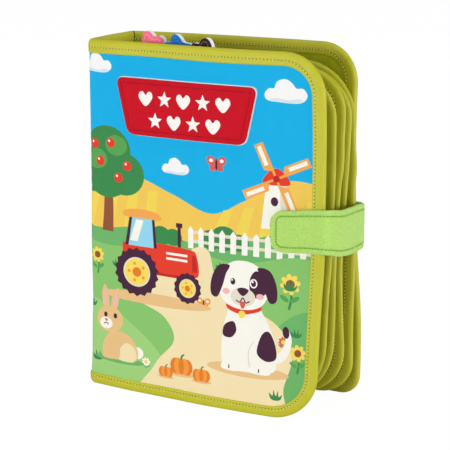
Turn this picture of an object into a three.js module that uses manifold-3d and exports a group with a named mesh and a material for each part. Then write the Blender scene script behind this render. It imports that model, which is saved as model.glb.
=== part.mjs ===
// Soft cloth quiet book: two padded covers, a padded spine, four quilted leaves,
// three plush figures in the first leaf's pocket and a touch-and-close strap.
// Millimetres. The closed book stands on its lower edges: X runs from the spine
// to the fore-edge, Y from the front cover to the back one, and Z is up.

import * as THREE from 'three';
import { mergeVertices } from 'three/addons/utils/BufferGeometryUtils.js';
import Module from 'manifold-3d';

const wasm = await Module();
wasm.setup();

// Covers and spine
const coverHeight = 250;
const coverWidth = 180;
const bookDepth = 64;
const coverCornerRadius = 28;
const printCloth = 0.6;
const foamSheet = 3.6;
const liningCloth = 0.6;
const bindingCloth = 0.6;
const bindingFace = 10.5;
const backSwell = 6.4;
const foldGap = 0.3;
const seamGap = 0.3;

// Leaves
const leafCount = 4;
const leafPitch = 11.5;
const leafTopDrop = 14;
const leafBottom = 4;
const leafSetback = 0.5;
const leafCornerRadius = 22;
const leafRim = 3.2;
const leafCrown = 8.4;
const leafCrownReach = 40;
const pageCloth = 0.45;
const pageGap = 0.2;
const battingGap = 0.2;
const leafFlange = 3.5;
const leafRootReach = 10;
const leafBindingStart = 4;
const tabCloth = 0.8;
const tabReach = 5.4;
const tabGap = 0.2;
const leafRootGap = 0.5;

// Title patch on the front cover
const patchTopWidth = 108;
const patchBottomWidth = 90;
const patchHeight = 39;
const patchPadding = 1.9;
const patchCloth = 0.6;
const patchCornerRadius = 6;
const patchTopDrop = 24;
const patchMiddle = 80.5;

// Pocket on the first leaf's front page
const pocketWidth = 124;
const pocketHeight = 46;
const pocketStart = 28;
const pocketTopDrop = 14;
const pocketCloth = 0.8;
const pocketCornerRadius = 8;
const pocketClear = 0.4;

// Plush figures
const figureWidth = 19.4;
const figureHeight = 80;
const figureFace = 1.2;
const figureBacking = 5.6;
const figureClear = 0.4;
const figurePitch = 21;
const figureFirst = 48;

// Strap
const strapWidth = 31;
const strapTipWidth = 27.5;
const strapCloth = 3;
const strapMiddle = 130;
const strapTipReach = 35.2;
const strapTipRadius = 8;
const strapBulge = 6.2;
const strapTurn = 3.7;
const anchorReach = 56;
const hookPatchCloth = 1;
const loopPatchCloth = 0.8;
const hookPatchLength = 20;
const loopPatchLength = 24;
const patchMargin = 3.5;

// Rounding and fineness
const softEdge = 0.9;
const patchEdge = 0.6;
const cutOverrun = 5;
const arcSteps = 5;
const splineSteps = 3;
const bandSteps = 20;
const foldSearchSteps = 500;
const sliverLimit = 0.0001;

// Sizes that follow from these
const boardThickness = printCloth + foamSheet + liningCloth;
const coverThickness = boardThickness + 2 * bindingCloth;
const panelInset = bindingCloth + seamGap;
const liningFace = coverThickness - bindingCloth;
const pocketFront = coverThickness + pocketClear;
const figureSeat = pocketFront + pocketCloth + figureClear;
const leafHeight = coverHeight - leafBottom - leafTopDrop;
const leafHalf = leafCrown / 2;
const rimHalf = leafRim / 2;
const rootHalf = pageCloth + pageGap / 2;
const leafBindingHalf = rimHalf + seamGap + bindingCloth;
const firstLeafY = figureSeat + figureFace + figureBacking + figureClear + leafHalf;
const pocketTop = leafBottom + leafHeight - pocketTopDrop;
const pocketBottom = pocketTop - pocketHeight;
const leafAxisX = liningFace + tabReach + tabGap;
const leafWidth = coverWidth - leafSetback - leafAxisX;
const tabInnerFace = bindingCloth - loopPatchCloth - hookPatchCloth;
const tabOuterFace = tabInnerFace - strapCloth;
const tabMid = (tabInnerFace + tabOuterFace) / 2;
const anchorMid = bookDepth + strapCloth / 2;
const anchorOuterFace = bookDepth + strapCloth;
const foldX = coverWidth + strapBulge / 2;
const foldY = tabMid + strapCloth / 2;

function cloth(color, roughness = 0.9) {
  return new THREE.MeshStandardMaterial({ color, roughness, metalness: 0 });
}

const lime = cloth(0xc3c24b, 0.75);
const skyPrint = cloth(0x1fb4e8, 0.85);
const foam = cloth(0xf2efe6);
const felt = cloth(0x5f6a12);
const page = cloth(0xf4efe2);
const batting = cloth(0xfbfaf6);
const red = cloth(0xce1126, 0.8);
const green = cloth(0xaedb6c);
const white = cloth(0xf2f1ee);
const pink = cloth(0xe35a76);
const blue = cloth(0x1464b4);
const black = cloth(0x281414);

function namedMesh(name, geometry, material) {
  const mesh = new THREE.Mesh(geometry, material);
  mesh.name = name;
  return mesh;
}

// Cutting and joining closed bodies

function toSolid(geometry) {
  const bare = geometry.clone();
  bare.deleteAttribute('normal');
  bare.deleteAttribute('uv');
  const merged = mergeVertices(bare);
  return new wasm.Manifold(new wasm.Mesh({
    numProp: 3,
    vertProperties: new Float32Array(merged.attributes.position.array),
    triVerts: new Uint32Array(merged.index.array),
  }));
}

function toGeometry(solid) {
  const mesh = solid.getMesh();
  const geometry = new THREE.BufferGeometry();
  geometry.setAttribute('position', new THREE.BufferAttribute(mesh.vertProperties, mesh.numProp));
  geometry.setIndex(new THREE.BufferAttribute(mesh.triVerts, 1));
  geometry.computeVertexNormals();
  return geometry;
}

function cut(body, ...tools) {
  let solid = toSolid(body);
  for (const tool of tools) {
    solid = solid.subtract(toSolid(tool));
  }
  return toGeometry(solid);
}

function common(body, other) {
  return toGeometry(toSolid(body).intersect(toSolid(other)));
}

// Outlines in X and Z, and slabs of them between two faces in Y

function panelOutline(left, right, bottom, top, radius) {
  const outline = new THREE.Shape();
  outline.moveTo(left, bottom);
  outline.lineTo(right - radius, bottom);
  outline.absarc(right - radius, bottom + radius, radius, -Math.PI / 2, 0);
  outline.lineTo(right, top - radius);
  outline.absarc(right - radius, top - radius, radius, 0, Math.PI / 2);
  outline.lineTo(left, top);
  outline.closePath();
  return outline;
}

function boxOutline(left, right, bottom, top) {
  const outline = new THREE.Shape();
  outline.moveTo(left, bottom);
  outline.lineTo(right, bottom);
  outline.lineTo(right, top);
  outline.lineTo(left, top);
  outline.closePath();
  return outline;
}

function slab(outline, front, back, bevel = 0, steps = arcSteps) {
  const geometry = new THREE.ExtrudeGeometry(outline, {
    depth: back - front - 2 * bevel,
    curveSegments: steps,
    bevelEnabled: bevel > 0,
    bevelThickness: bevel,
    bevelSize: bevel,
    bevelOffset: -bevel,
    bevelSegments: 2,
  });
  geometry.rotateX(Math.PI / 2);
  geometry.translate(0, back - bevel, 0);
  return geometry;
}

// A tape folded over the top, fore-edge and bottom of a panel, open towards the spine.
// The window is what the panel shows, and the slot is where the panel's rim sits.

function edgeBinding({ start, right, top, radius, front, back, slotFront, slotBack }) {
  const around = slab(panelOutline(start - cutOverrun, right, 0, top, radius), front, back, softEdge);
  const squareEnd = slab(
    boxOutline(start - 2 * cutOverrun, start, -cutOverrun, top + cutOverrun),
    front - cutOverrun,
    back + cutOverrun,
  );
  const windowCut = slab(
    panelOutline(start - cutOverrun, right - bindingFace, bindingFace, top - bindingFace, radius - bindingFace),
    front - cutOverrun,
    back + cutOverrun,
  );
  const slotCut = slab(
    panelOutline(start - cutOverrun, right - bindingCloth, bindingCloth, top - bindingCloth, radius - bindingCloth),
    slotFront,
    slotBack,
  );
  return cut(around, squareEnd, windowCut, slotCut);
}

// One cover lying against the y = 0 plane with its print there and its lining behind

function coverPanel(front, back, left = bindingCloth) {
  return slab(
    panelOutline(
      left,
      coverWidth - panelInset,
      panelInset,
      coverHeight - panelInset,
      coverCornerRadius - panelInset,
    ),
    front,
    back,
  );
}

function cover(side) {
  const printFace = bindingCloth;
  const foamFace = printFace + printCloth;
  const liningSeat = foamFace + foamSheet;
  const wholePanel = coverPanel(printFace, liningFace);
  const wrapped = coverPanel(foamFace, liningFace + cutOverrun, bindingCloth + printCloth);
  const group = new THREE.Group();
  group.add(
    namedMesh(`${side}_cover_print`, cut(wholePanel, rimTrim(wrapped)), skyPrint),
    namedMesh(`${side}_cover_foam`, coverPanel(foamFace, liningSeat, bindingCloth + printCloth), foam),
    namedMesh(`${side}_cover_lining`, coverPanel(liningSeat, liningFace, bindingCloth + printCloth), felt),
    namedMesh(`${side}_cover_binding`, edgeBinding({
      start: 0,
      right: coverWidth,
      top: coverHeight,
      radius: coverCornerRadius,
      front: 0,
      back: coverThickness,
      slotFront: printFace,
      slotBack: liningFace,
    }), lime),
  );
  return group;
}

// The print wraps the spine edge only, so what it wraps is cut out past its other edges

function rimTrim(wrapped) {
  wrapped.computeBoundingBox();
  const { min, max } = wrapped.boundingBox;
  return slab(
    boxOutline(min.x, max.x + cutOverrun, min.z - cutOverrun, max.z + cutOverrun),
    min.y,
    max.y,
  );
}

// The back cover is the front one turned over about the book's mid-plane

function turnedOver(group) {
  group.traverse((piece) => {
    if (!piece.isMesh) {
      return;
    }
    piece.geometry = piece.geometry.clone();
    piece.geometry.scale(1, -1, 1);
    piece.geometry.translate(0, bookDepth, 0);
    const index = piece.geometry.index;
    if (index) {
      for (let i = 0; i < index.count; i += 3) {
        const second = index.getX(i + 1);
        index.setX(i + 1, index.getX(i + 2));
        index.setX(i + 2, second);
      }
    } else {
      const places = piece.geometry.attributes.position;
      for (let i = 0; i < places.count; i += 3) {
        const second = new THREE.Vector3().fromBufferAttribute(places, i + 1);
        const third = new THREE.Vector3().fromBufferAttribute(places, i + 2);
        places.setXYZ(i + 1, third.x, third.y, third.z);
        places.setXYZ(i + 2, second.x, second.y, second.z);
      }
    }
    piece.geometry.computeVertexNormals();
  });
  return group;
}

// The back cover swells away from the leaves between its spine and where the strap's
// anchor ends. Its cloths are flat from one place of the swell to the next.

const swellShares = [[0, 0], [0.28, 0.77], [0.53, 1], [0.8, 0.67], [1, 0]];
const swellEnd = coverWidth - strapTurn - seamGap;
const swellPlaces = swellShares.map(([along, out]) => [along * swellEnd, out * backSwell]);
swellPlaces.push([coverWidth, 0]);

function swellAt(x) {
  const i = Math.max(swellPlaces.findIndex(([place]) => place >= x), 1);
  const [[left, leftOut], [right, rightOut]] = swellPlaces.slice(i - 1, i + 1);
  return leftOut + (rightOut - leftOut) * (x - left) / (right - left);
}

function splitAt(corners, x) {
  const sides = corners.map((corner) => Math.sign(corner.x - x));
  if (!sides.includes(1) || !sides.includes(-1)) {
    return [corners];
  }
  return [1, -1].flatMap((side) => {
    const kept = [];
    corners.forEach((corner, i) => {
      const next = corners[(i + 1) % corners.length];
      if (sides[i] !== -side) {
        kept.push(corner);
      }
      if (sides[i] * sides[(i + 1) % corners.length] < 0) {
        const [low, high] = corner.x < next.x ? [corner, next] : [next, corner];
        kept.push(low.clone().lerp(high, (x - low.x) / (high.x - low.x)).setX(x));
      }
    });
    return kept.slice(2).map((corner, i) => [kept[0], kept[i + 1], corner]);
  });
}

function swollen(geometry) {
  const places = toGeometry(toSolid(geometry)).toNonIndexed().attributes.position;
  let triangles = [];
  for (let i = 0; i < places.count; i += 3) {
    triangles.push([0, 1, 2].map((k) => new THREE.Vector3().fromBufferAttribute(places, i + k)));
  }
  for (const [x] of swellPlaces.slice(1, -1)) {
    triangles = triangles.flatMap((corners) => splitAt(corners, x));
  }
  const shifted = triangles.flat().map((corner) => new THREE.Vector3(
    corner.x,
    corner.y + swellAt(corner.x),
    corner.z,
  ));
  return toGeometry(toSolid(new THREE.BufferGeometry().setFromPoints(shifted)).simplify(sliverLimit));
}

function swollenPieces(group) {
  group.traverse((piece) => {
    if (piece.isMesh) {
      piece.geometry = swollen(piece.geometry);
    }
  });
  return group;
}

// Spine board between the two covers, with a tape over its top and bottom

function spineLayer(outer, inner, front, back) {
  return slab(boxOutline(outer, inner, panelInset, coverHeight - panelInset), front, back);
}

function spineTape(front, back) {
  const outline = new THREE.Shape();
  outline.moveTo(0, bindingFace);
  outline.lineTo(0, softEdge);
  outline.absarc(softEdge, softEdge, softEdge, Math.PI, 1.5 * Math.PI);
  outline.lineTo(coverThickness - softEdge, 0);
  outline.absarc(coverThickness - softEdge, softEdge, softEdge, 1.5 * Math.PI, 2 * Math.PI);
  outline.lineTo(coverThickness, bindingFace);
  outline.lineTo(liningFace, bindingFace);
  outline.lineTo(liningFace, bindingCloth);
  outline.lineTo(bindingCloth, bindingCloth);
  outline.lineTo(bindingCloth, bindingFace);
  outline.closePath();
  return slab(outline, front, back);
}

function spine() {
  const front = coverThickness + foldGap;
  const back = bookDepth - front;
  const printFace = bindingCloth;
  const foamFace = printFace + printCloth;
  const liningSeat = foamFace + foamSheet;
  const topTape = spineTape(front, back);
  topTape.rotateY(Math.PI);
  topTape.translate(coverThickness, 0, coverHeight);
  const group = new THREE.Group();
  group.add(
    namedMesh('spine_print', spineLayer(printFace, foamFace, front, back), skyPrint),
    namedMesh('spine_foam', spineLayer(foamFace, liningSeat, front, back), foam),
    namedMesh('spine_lining', spineLayer(liningSeat, liningFace, front, back), felt),
    namedMesh('spine_binding_bottom', spineTape(front, back), lime),
    namedMesh('spine_binding_top', topTape, lime),
  );
  return group;
}

// Leaves: two pages quilted over batting, taped round three edges.
// Each is built about its own hinge line, x = 0, with its mid-plane at y = 0.

const cornerTurnShares = [0, 0.28, 0.5, 0.72, 1];
const middleRowShares = [0.16, 0.38, 0.62, 0.84];
const middleColumnShares = [0.1, 0.25, 0.45, 0.65, 0.85, 1];
const foreColumnShares = [0.63, 1];

function leafGrid() {
  const right = leafWidth - panelInset;
  const radius = leafCornerRadius - panelInset;
  const bottom = panelInset;
  const top = leafHeight - panelInset;
  const columnsEnd = right - radius - bindingFace;
  const rows = [];
  for (const share of cornerTurnShares) {
    const turn = share * Math.PI / 2;
    const rise = radius * (1 - Math.cos(turn));
    const reach = right - radius + radius * Math.sin(turn);
    rows.push({ z: bottom + rise, reach });
  }
  const lowCorner = rows.map((row) => ({ ...row }));
  for (const share of middleRowShares) {
    rows.push({ z: bottom + radius + share * (top - bottom - 2 * radius), reach: right });
  }
  for (const row of lowCorner.reverse()) {
    rows.push({ z: bottom + top - row.z, reach: row.reach });
  }
  const columns = [leafRootGap, leafFlange, leafRootReach];
  for (const share of middleColumnShares) {
    columns.push(leafRootReach + share * (columnsEnd - leafRootReach));
  }
  return rows.map((row) => [
    ...columns.map((x) => ({ x, z: row.z })),
    ...foreColumnShares.map((share) => ({ x: columnsEnd + share * (row.reach - columnsEnd), z: row.z })),
  ]);
}

function easeIn(length, reach) {
  const share = Math.min(Math.max(length / reach, 0), 1);
  return share * share * (3 - 2 * share);
}

function leafHalfThickness({ x, z }) {
  const lip = bindingFace + seamGap;
  const root = easeIn(x - leafFlange, leafRootReach - leafFlange);
  const crown = easeIn(x - leafRootReach, leafCrownReach)
    * easeIn(leafWidth - lip - x, leafCrownReach)
    * easeIn(z - lip, leafCrownReach)
    * easeIn(leafHeight - lip - z, leafCrownReach);
  return rootHalf + (rimHalf - rootHalf) * root + (leafHalf - rimHalf) * crown;
}

function quiltedLayer(grid, nearSide, farSide) {
  const rows = grid.length;
  const columns = grid[0].length;
  const places = [];
  for (const sideOf of [nearSide, farSide]) {
    for (const row of grid) {
      for (const point of row) {
        places.push(point.x, sideOf(point), point.z);
      }
    }
  }
  const at = (row, column, far) => (far ? rows * columns : 0) + row * columns + column;
  const index = [];
  for (let r = 0; r < rows - 1; r += 1) {
    for (let c = 0; c < columns - 1; c += 1) {
      index.push(at(r, c, false), at(r, c + 1, false), at(r + 1, c + 1, false));
      index.push(at(r, c, false), at(r + 1, c + 1, false), at(r + 1, c, false));
      index.push(at(r, c, true), at(r + 1, c + 1, true), at(r, c + 1, true));
      index.push(at(r, c, true), at(r + 1, c, true), at(r + 1, c + 1, true));
    }
  }
  const rim = [];
  for (let c = 0; c < columns - 1; c += 1) {
    rim.push([0, c]);
  }
  for (let r = 0; r < rows - 1; r += 1) {
    rim.push([r, columns - 1]);
  }
  for (let c = columns - 1; c > 0; c -= 1) {
    rim.push([rows - 1, c]);
  }
  for (let r = rows - 1; r > 0; r -= 1) {
    rim.push([r, 0]);
  }
  rim.forEach(([row, column], i) => {
    const [nextRow, nextColumn] = rim[(i + 1) % rim.length];
    index.push(at(nextRow, nextColumn, false), at(row, column, false), at(row, column, true));
    index.push(at(nextRow, nextColumn, false), at(row, column, true), at(nextRow, nextColumn, true));
  });
  const geometry = new THREE.BufferGeometry();
  geometry.setAttribute('position', new THREE.Float32BufferAttribute(places, 3));
  geometry.setIndex(index);
  geometry.computeVertexNormals();
  return geometry;
}

function leaf(number) {
  const grid = leafGrid();
  const rootColumns = 2;
  const battingGrid = grid.map((row) => row.slice(rootColumns));
  const battingHalf = (point) => leafHalfThickness(point) - pageCloth - battingGap;
  const group = new THREE.Group();
  group.add(
    namedMesh(`leaf_${number}_front_page`, quiltedLayer(
      grid,
      (point) => -leafHalfThickness(point),
      (point) => pageCloth - leafHalfThickness(point),
    ), page),
    namedMesh(`leaf_${number}_batting`, quiltedLayer(
      battingGrid,
      (point) => -battingHalf(point),
      battingHalf,
    ), batting),
    namedMesh(`leaf_${number}_back_page`, quiltedLayer(
      grid,
      (point) => leafHalfThickness(point) - pageCloth,
      leafHalfThickness,
    ), page),
    namedMesh(`leaf_${number}_binding`, edgeBinding({
      start: leafBindingStart,
      right: leafWidth,
      top: leafHeight,
      radius: leafCornerRadius,
      front: -leafBindingHalf,
      back: leafBindingHalf,
      slotFront: -rimHalf - seamGap,
      slotBack: rimHalf + seamGap,
    }), lime),
  );
  return group;
}

// The strip that sews a leaf to the spine lining, ending at the leaf's hinge line

function leafTab(number) {
  const low = Math.max(leafBottom, bindingFace) + seamGap;
  const high = Math.min(leafBottom + leafHeight, coverHeight - bindingFace) - seamGap;
  const strip = slab(
    boxOutline(liningFace, leafAxisX - tabGap, low, high),
    -tabCloth / 2,
    tabCloth / 2,
  );
  return namedMesh(`leaf_${number}_tab`, strip, felt);
}

// Padded patch on the front cover, wider at its top

function titlePatch() {
  const padFace = bindingCloth - patchPadding;
  const clothFace = padFace - patchCloth;
  const top = coverHeight - patchTopDrop;
  const corners = [
    new THREE.Vector2(patchMiddle - patchBottomWidth / 2, top - patchHeight),
    new THREE.Vector2(patchMiddle + patchBottomWidth / 2, top - patchHeight),
    new THREE.Vector2(patchMiddle + patchTopWidth / 2, top),
    new THREE.Vector2(patchMiddle - patchTopWidth / 2, top),
  ];
  const outline = new THREE.Shape();
  corners.forEach((corner, i) => {
    const before = corners[(i + 3) % 4];
    const after = corners[(i + 1) % 4];
    const start = corner.clone().add(before.clone().sub(corner).setLength(patchCornerRadius));
    const end = corner.clone().add(after.clone().sub(corner).setLength(patchCornerRadius));
    if (i === 0) {
      outline.moveTo(start.x, start.y);
    } else {
      outline.lineTo(start.x, start.y);
    }
    outline.quadraticCurveTo(corner.x, corner.y, end.x, end.y);
  });
  outline.closePath();
  const group = new THREE.Group();
  group.add(
    namedMesh('title_patch_padding', slab(outline, padFace, bindingCloth), white),
    namedMesh('title_patch', slab(outline, clothFace, padFace, patchCloth / 3), red),
  );
  return group;
}

// Pouch sewn to the first leaf's front page along its sides and bottom, open at the top

function figurePocket() {
  const left = pocketStart;
  const right = pocketStart + pocketWidth;
  const pouch = slab(
    pouchOutline(left, right, pocketBottom, pocketTop, pocketCornerRadius),
    pocketFront,
    firstLeafY,
  );
  const inside = slab(
    pouchOutline(
      left + pocketCloth,
      right - pocketCloth,
      pocketBottom + pocketCloth,
      pocketTop + cutOverrun,
      pocketCornerRadius - pocketCloth,
    ),
    pocketFront + pocketCloth,
    firstLeafY + cutOverrun,
  );
  const quilted = quiltedLayer(
    leafGrid(),
    (point) => -leafHalfThickness(point) - seamGap,
    () => leafHalf + cutOverrun,
  );
  quilted.translate(leafAxisX, firstLeafY, leafBottom);
  return namedMesh('figure_pocket', cut(pouch, inside, quilted), felt);
}

function pouchOutline(left, right, bottom, top, radius) {
  const outline = new THREE.Shape();
  outline.moveTo(left + radius, bottom);
  outline.lineTo(right - radius, bottom);
  outline.absarc(right - radius, bottom + radius, radius, -Math.PI / 2, 0);
  outline.lineTo(right, top);
  outline.lineTo(left, top);
  outline.lineTo(left, bottom + radius);
  outline.absarc(left + radius, bottom + radius, radius, Math.PI, 1.5 * Math.PI);
  return outline;
}

// Plush figures: a coloured face on a white backing. Their outlines run anticlockwise
// from the bottom, in shares of their width, from the middle, and of their height.

const bodyRightShares = [[0, 0], [0.3, 0.005], [0.45, 0.05], [0.49, 0.16], [0.49, 0.34], [0.4, 0.5], [0.3, 0.6]];
const bodyLeftShares = [[-0.3, 0.6], [-0.4, 0.5], [-0.49, 0.34], [-0.49, 0.16], [-0.45, 0.05], [-0.3, 0.005]];
const pinkHeadShares = [
  [0.4, 0.66], [0.49, 0.77], [0.49, 0.86], [0.5, 0.91], [0.44, 0.94], [0.33, 0.952], [0.2, 0.945],
  [0.05, 0.97], [-0.08, 0.995], [-0.2, 0.997], [-0.34, 0.968], [-0.43, 0.93], [-0.48, 0.88],
  [-0.49, 0.78], [-0.4, 0.66],
];
const blueHeadShares = [
  [0.38, 0.66], [0.46, 0.74], [0.44, 0.83], [0.48, 0.87], [0.5, 0.905], [0.42, 0.923], [0.3, 0.925],
  [0.21, 0.96], [0.1, 0.99], [0, 0.998], [-0.1, 0.99], [-0.21, 0.96], [-0.3, 0.925],
  [-0.42, 0.923], [-0.5, 0.905], [-0.48, 0.87], [-0.44, 0.83], [-0.46, 0.74], [-0.38, 0.66],
];
const blackHeadShares = [
  [0.38, 0.66], [0.47, 0.76], [0.49, 0.86], [0.45, 0.92], [0.36, 0.965], [0.22, 0.99], [0.1, 0.998],
  [-0.04, 0.985], [-0.14, 0.955], [-0.24, 0.93], [-0.38, 0.928], [-0.49, 0.905],
  [-0.47, 0.865], [-0.43, 0.82], [-0.46, 0.74], [-0.38, 0.66],
];
const figureKinds = [
  { name: 'pink_figure', headShares: pinkHeadShares, material: pink, heightShare: 1 },
  { name: 'blue_figure', headShares: blueHeadShares, material: blue, heightShare: 0.987 },
  { name: 'black_figure', headShares: blackHeadShares, material: black, heightShare: 0.97 },
];

function figure(kind, place) {
  const points = [...bodyRightShares, ...kind.headShares, ...bodyLeftShares].map(([across, up]) => (
    new THREE.Vector3(across * figureWidth, up * figureHeight * kind.heightShare, 0)
  ));
  const curve = new THREE.CatmullRomCurve3(points, true, 'centripetal');
  const outline = new THREE.Shape(
    curve.getPoints(points.length * splineSteps / 2).slice(1).map((point) => new THREE.Vector2(point.x, point.y)),
  );
  const backingFace = figureFace;
  const group = new THREE.Group();
  group.add(
    namedMesh(`${kind.name}_face`, slab(outline, 0, backingFace, figureFace / 3), kind.material),
    namedMesh(`${kind.name}_backing`, slab(outline, backingFace, backingFace + figureBacking), white),
  );
  group.position.set(
    figureFirst + place * figurePitch,
    figureSeat,
    pocketBottom + pocketCloth + seamGap,
  );
  return group;
}

// Strap: a band that runs on from the back cover round the fore-edge to the front cover.
// Its course in plan is given along its middle, and its thickness lies half on each side.

const turnShares = [[0.74, -0.84], [0.4, -0.07], [-0.3, 0.18], [-1, 0.05]];
const sideShares = [[0.93, 0.06], [1, 0.22], [0.7, 0.56], [0.45, 0.86]];
const strapTip = coverWidth - strapTipReach;
const strapCourse = new THREE.CatmullRomCurve3([
  [strapTip, tabMid],
  [strapTip + strapTipReach / 3, tabMid],
  [strapTip + 2 * strapTipReach / 3, tabMid],
  [coverWidth, tabMid],
  ...sideShares.map(([out, depth]) => [coverWidth + out * strapBulge, depth * bookDepth]),
  ...turnShares.map(([along, out]) => [coverWidth + along * strapTurn, anchorMid + out * strapTurn]),
].map(([x, y]) => new THREE.Vector3(x, y, 0)), false, 'centripetal');

// The band folds just past the cover's fore-edge, where its tab begins

function foldShare() {
  let share = 0;
  while (strapCourse.getPointAt(share).x < foldX) {
    share += 1 / foldSearchSteps;
  }
  return share;
}

function band(fromShare, toShare) {
  const outside = [];
  const inside = [];
  for (let i = 0; i <= bandSteps; i += 1) {
    const share = fromShare + (toShare - fromShare) * i / bandSteps;
    const middle = strapCourse.getPointAt(share);
    const along = strapCourse.getTangentAt(share);
    const across = new THREE.Vector3(-along.y, along.x, 0).multiplyScalar(strapCloth / 2);
    inside.push(middle.clone().add(across));
    outside.push(middle.clone().sub(across));
  }
  const rim = [...outside, ...inside.reverse()].map((point) => new THREE.Vector2(point.x, point.y));
  const geometry = new THREE.ExtrudeGeometry(new THREE.Shape(rim), { depth: strapWidth, bevelEnabled: false });
  geometry.translate(0, 0, strapMiddle - strapWidth / 2);
  return geometry;
}

function strapAnchor() {
  const outline = pouchOutline(
    strapMiddle - strapWidth / 2,
    strapMiddle + strapWidth / 2,
    0,
    anchorReach,
    strapTipRadius,
  );
  const strip = slab(outline, bookDepth, anchorOuterFace, patchEdge);
  strip.rotateY(Math.PI / 2);
  strip.translate(coverWidth - strapTurn - seamGap - anchorReach, 0, 2 * strapMiddle);
  return namedMesh('strap_anchor', swollen(strip), green);
}

function strapSide() {
  const gapShare = seamGap / 2 / strapCourse.getLength();
  return namedMesh('strap_side', band(foldShare() + gapShare, 1), green);
}

function strapTab() {
  const gapShare = seamGap / 2 / strapCourse.getLength();
  const tipLow = strapMiddle - strapTipWidth / 2;
  const tipHigh = strapMiddle + strapTipWidth / 2;
  const fullLow = strapMiddle - strapWidth / 2;
  const fullHigh = strapMiddle + strapWidth / 2;
  const past = foldX + cutOverrun;
  const outline = new THREE.Shape();
  outline.moveTo(strapTip + strapTipRadius, tipLow);
  outline.lineTo(coverWidth - strapTipRadius, fullLow);
  outline.lineTo(past, fullLow);
  outline.lineTo(past, fullHigh);
  outline.lineTo(coverWidth - strapTipRadius, fullHigh);
  outline.lineTo(strapTip + strapTipRadius, tipHigh);
  outline.quadraticCurveTo(strapTip, tipHigh, strapTip, tipHigh - strapTipRadius);
  outline.lineTo(strapTip, tipLow + strapTipRadius);
  outline.quadraticCurveTo(strapTip, tipLow, strapTip + strapTipRadius, tipLow);
  const trimmed = common(
    band(0, foldShare() - gapShare),
    slab(outline, tabOuterFace - cutOverrun, foldY + cutOverrun),
  );
  return namedMesh('strap_tab', trimmed, green);
}

function touchPatches() {
  const hookStart = strapTip + patchMargin;
  const hookHalf = strapTipWidth / 2 - patchMargin;
  const hook = slab(
    boxOutline(hookStart, hookStart + hookPatchLength, strapMiddle - hookHalf, strapMiddle + hookHalf),
    tabInnerFace,
    tabInnerFace + hookPatchCloth,
  );
  const loopEnd = coverWidth - bindingFace - seamGap;
  const loop = slab(
    boxOutline(loopEnd - loopPatchLength, loopEnd, strapMiddle - hookHalf, strapMiddle + hookHalf),
    bindingCloth - loopPatchCloth,
    bindingCloth,
  );
  return [
    namedMesh('strap_hook_patch', hook, white),
    namedMesh('cover_loop_patch', loop, white),
  ];
}

// The whole book, with its origin under the middle of the closed, strapped book

const book = new THREE.Group();
book.add(spine(), cover('front'), swollenPieces(turnedOver(cover('back'))));
for (let number = 1; number <= leafCount; number += 1) {
  const middleY = firstLeafY + (number - 1) * leafPitch;
  const pages = leaf(number);
  pages.position.set(leafAxisX, middleY, leafBottom);
  const tab = leafTab(number);
  tab.position.set(0, middleY, 0);
  book.add(pages, tab);
}
book.add(titlePatch(), figurePocket());
figureKinds.forEach((kind, place) => {
  book.add(figure(kind, place));
});
book.add(strapAnchor(), strapSide(), strapTab(), ...touchPatches());

const extent = new THREE.Box3().setFromObject(book);
book.position.set(-(extent.min.x + extent.max.x) / 2, -(extent.min.y + extent.max.y) / 2, 0);

const group = new THREE.Group();
group.add(book);

export default group;
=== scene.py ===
import math

import bmesh
import bpy
import numpy as np
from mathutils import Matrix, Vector
from mathutils.geometry import delaunay_2d_cdt


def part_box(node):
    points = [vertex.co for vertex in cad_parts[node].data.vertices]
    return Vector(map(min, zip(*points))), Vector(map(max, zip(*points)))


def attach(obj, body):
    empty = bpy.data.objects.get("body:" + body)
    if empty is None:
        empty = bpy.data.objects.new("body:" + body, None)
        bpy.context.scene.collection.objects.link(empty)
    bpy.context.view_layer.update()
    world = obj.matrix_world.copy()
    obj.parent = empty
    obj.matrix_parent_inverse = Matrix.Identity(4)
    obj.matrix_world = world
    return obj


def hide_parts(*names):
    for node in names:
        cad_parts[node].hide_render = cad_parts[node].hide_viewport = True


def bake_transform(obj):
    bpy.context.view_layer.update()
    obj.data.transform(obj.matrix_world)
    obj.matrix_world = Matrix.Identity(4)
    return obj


# A soft cloth quiet book that stands closed. Lengths are millimetres in the book's own
# frame: x from the spine to the fore-edge, y from the front cover to the back one, z up.
# Flat cloth coordinates are (along, z, depth), depth being how far under the face.

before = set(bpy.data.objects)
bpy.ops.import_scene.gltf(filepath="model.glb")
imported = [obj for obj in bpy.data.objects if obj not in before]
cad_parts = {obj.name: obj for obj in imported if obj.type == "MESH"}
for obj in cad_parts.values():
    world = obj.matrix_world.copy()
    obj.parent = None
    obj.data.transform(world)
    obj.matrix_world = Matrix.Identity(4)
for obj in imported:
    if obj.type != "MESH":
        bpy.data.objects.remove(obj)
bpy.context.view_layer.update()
bookCorner = np.array(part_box("front_cover_binding")[0])

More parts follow.
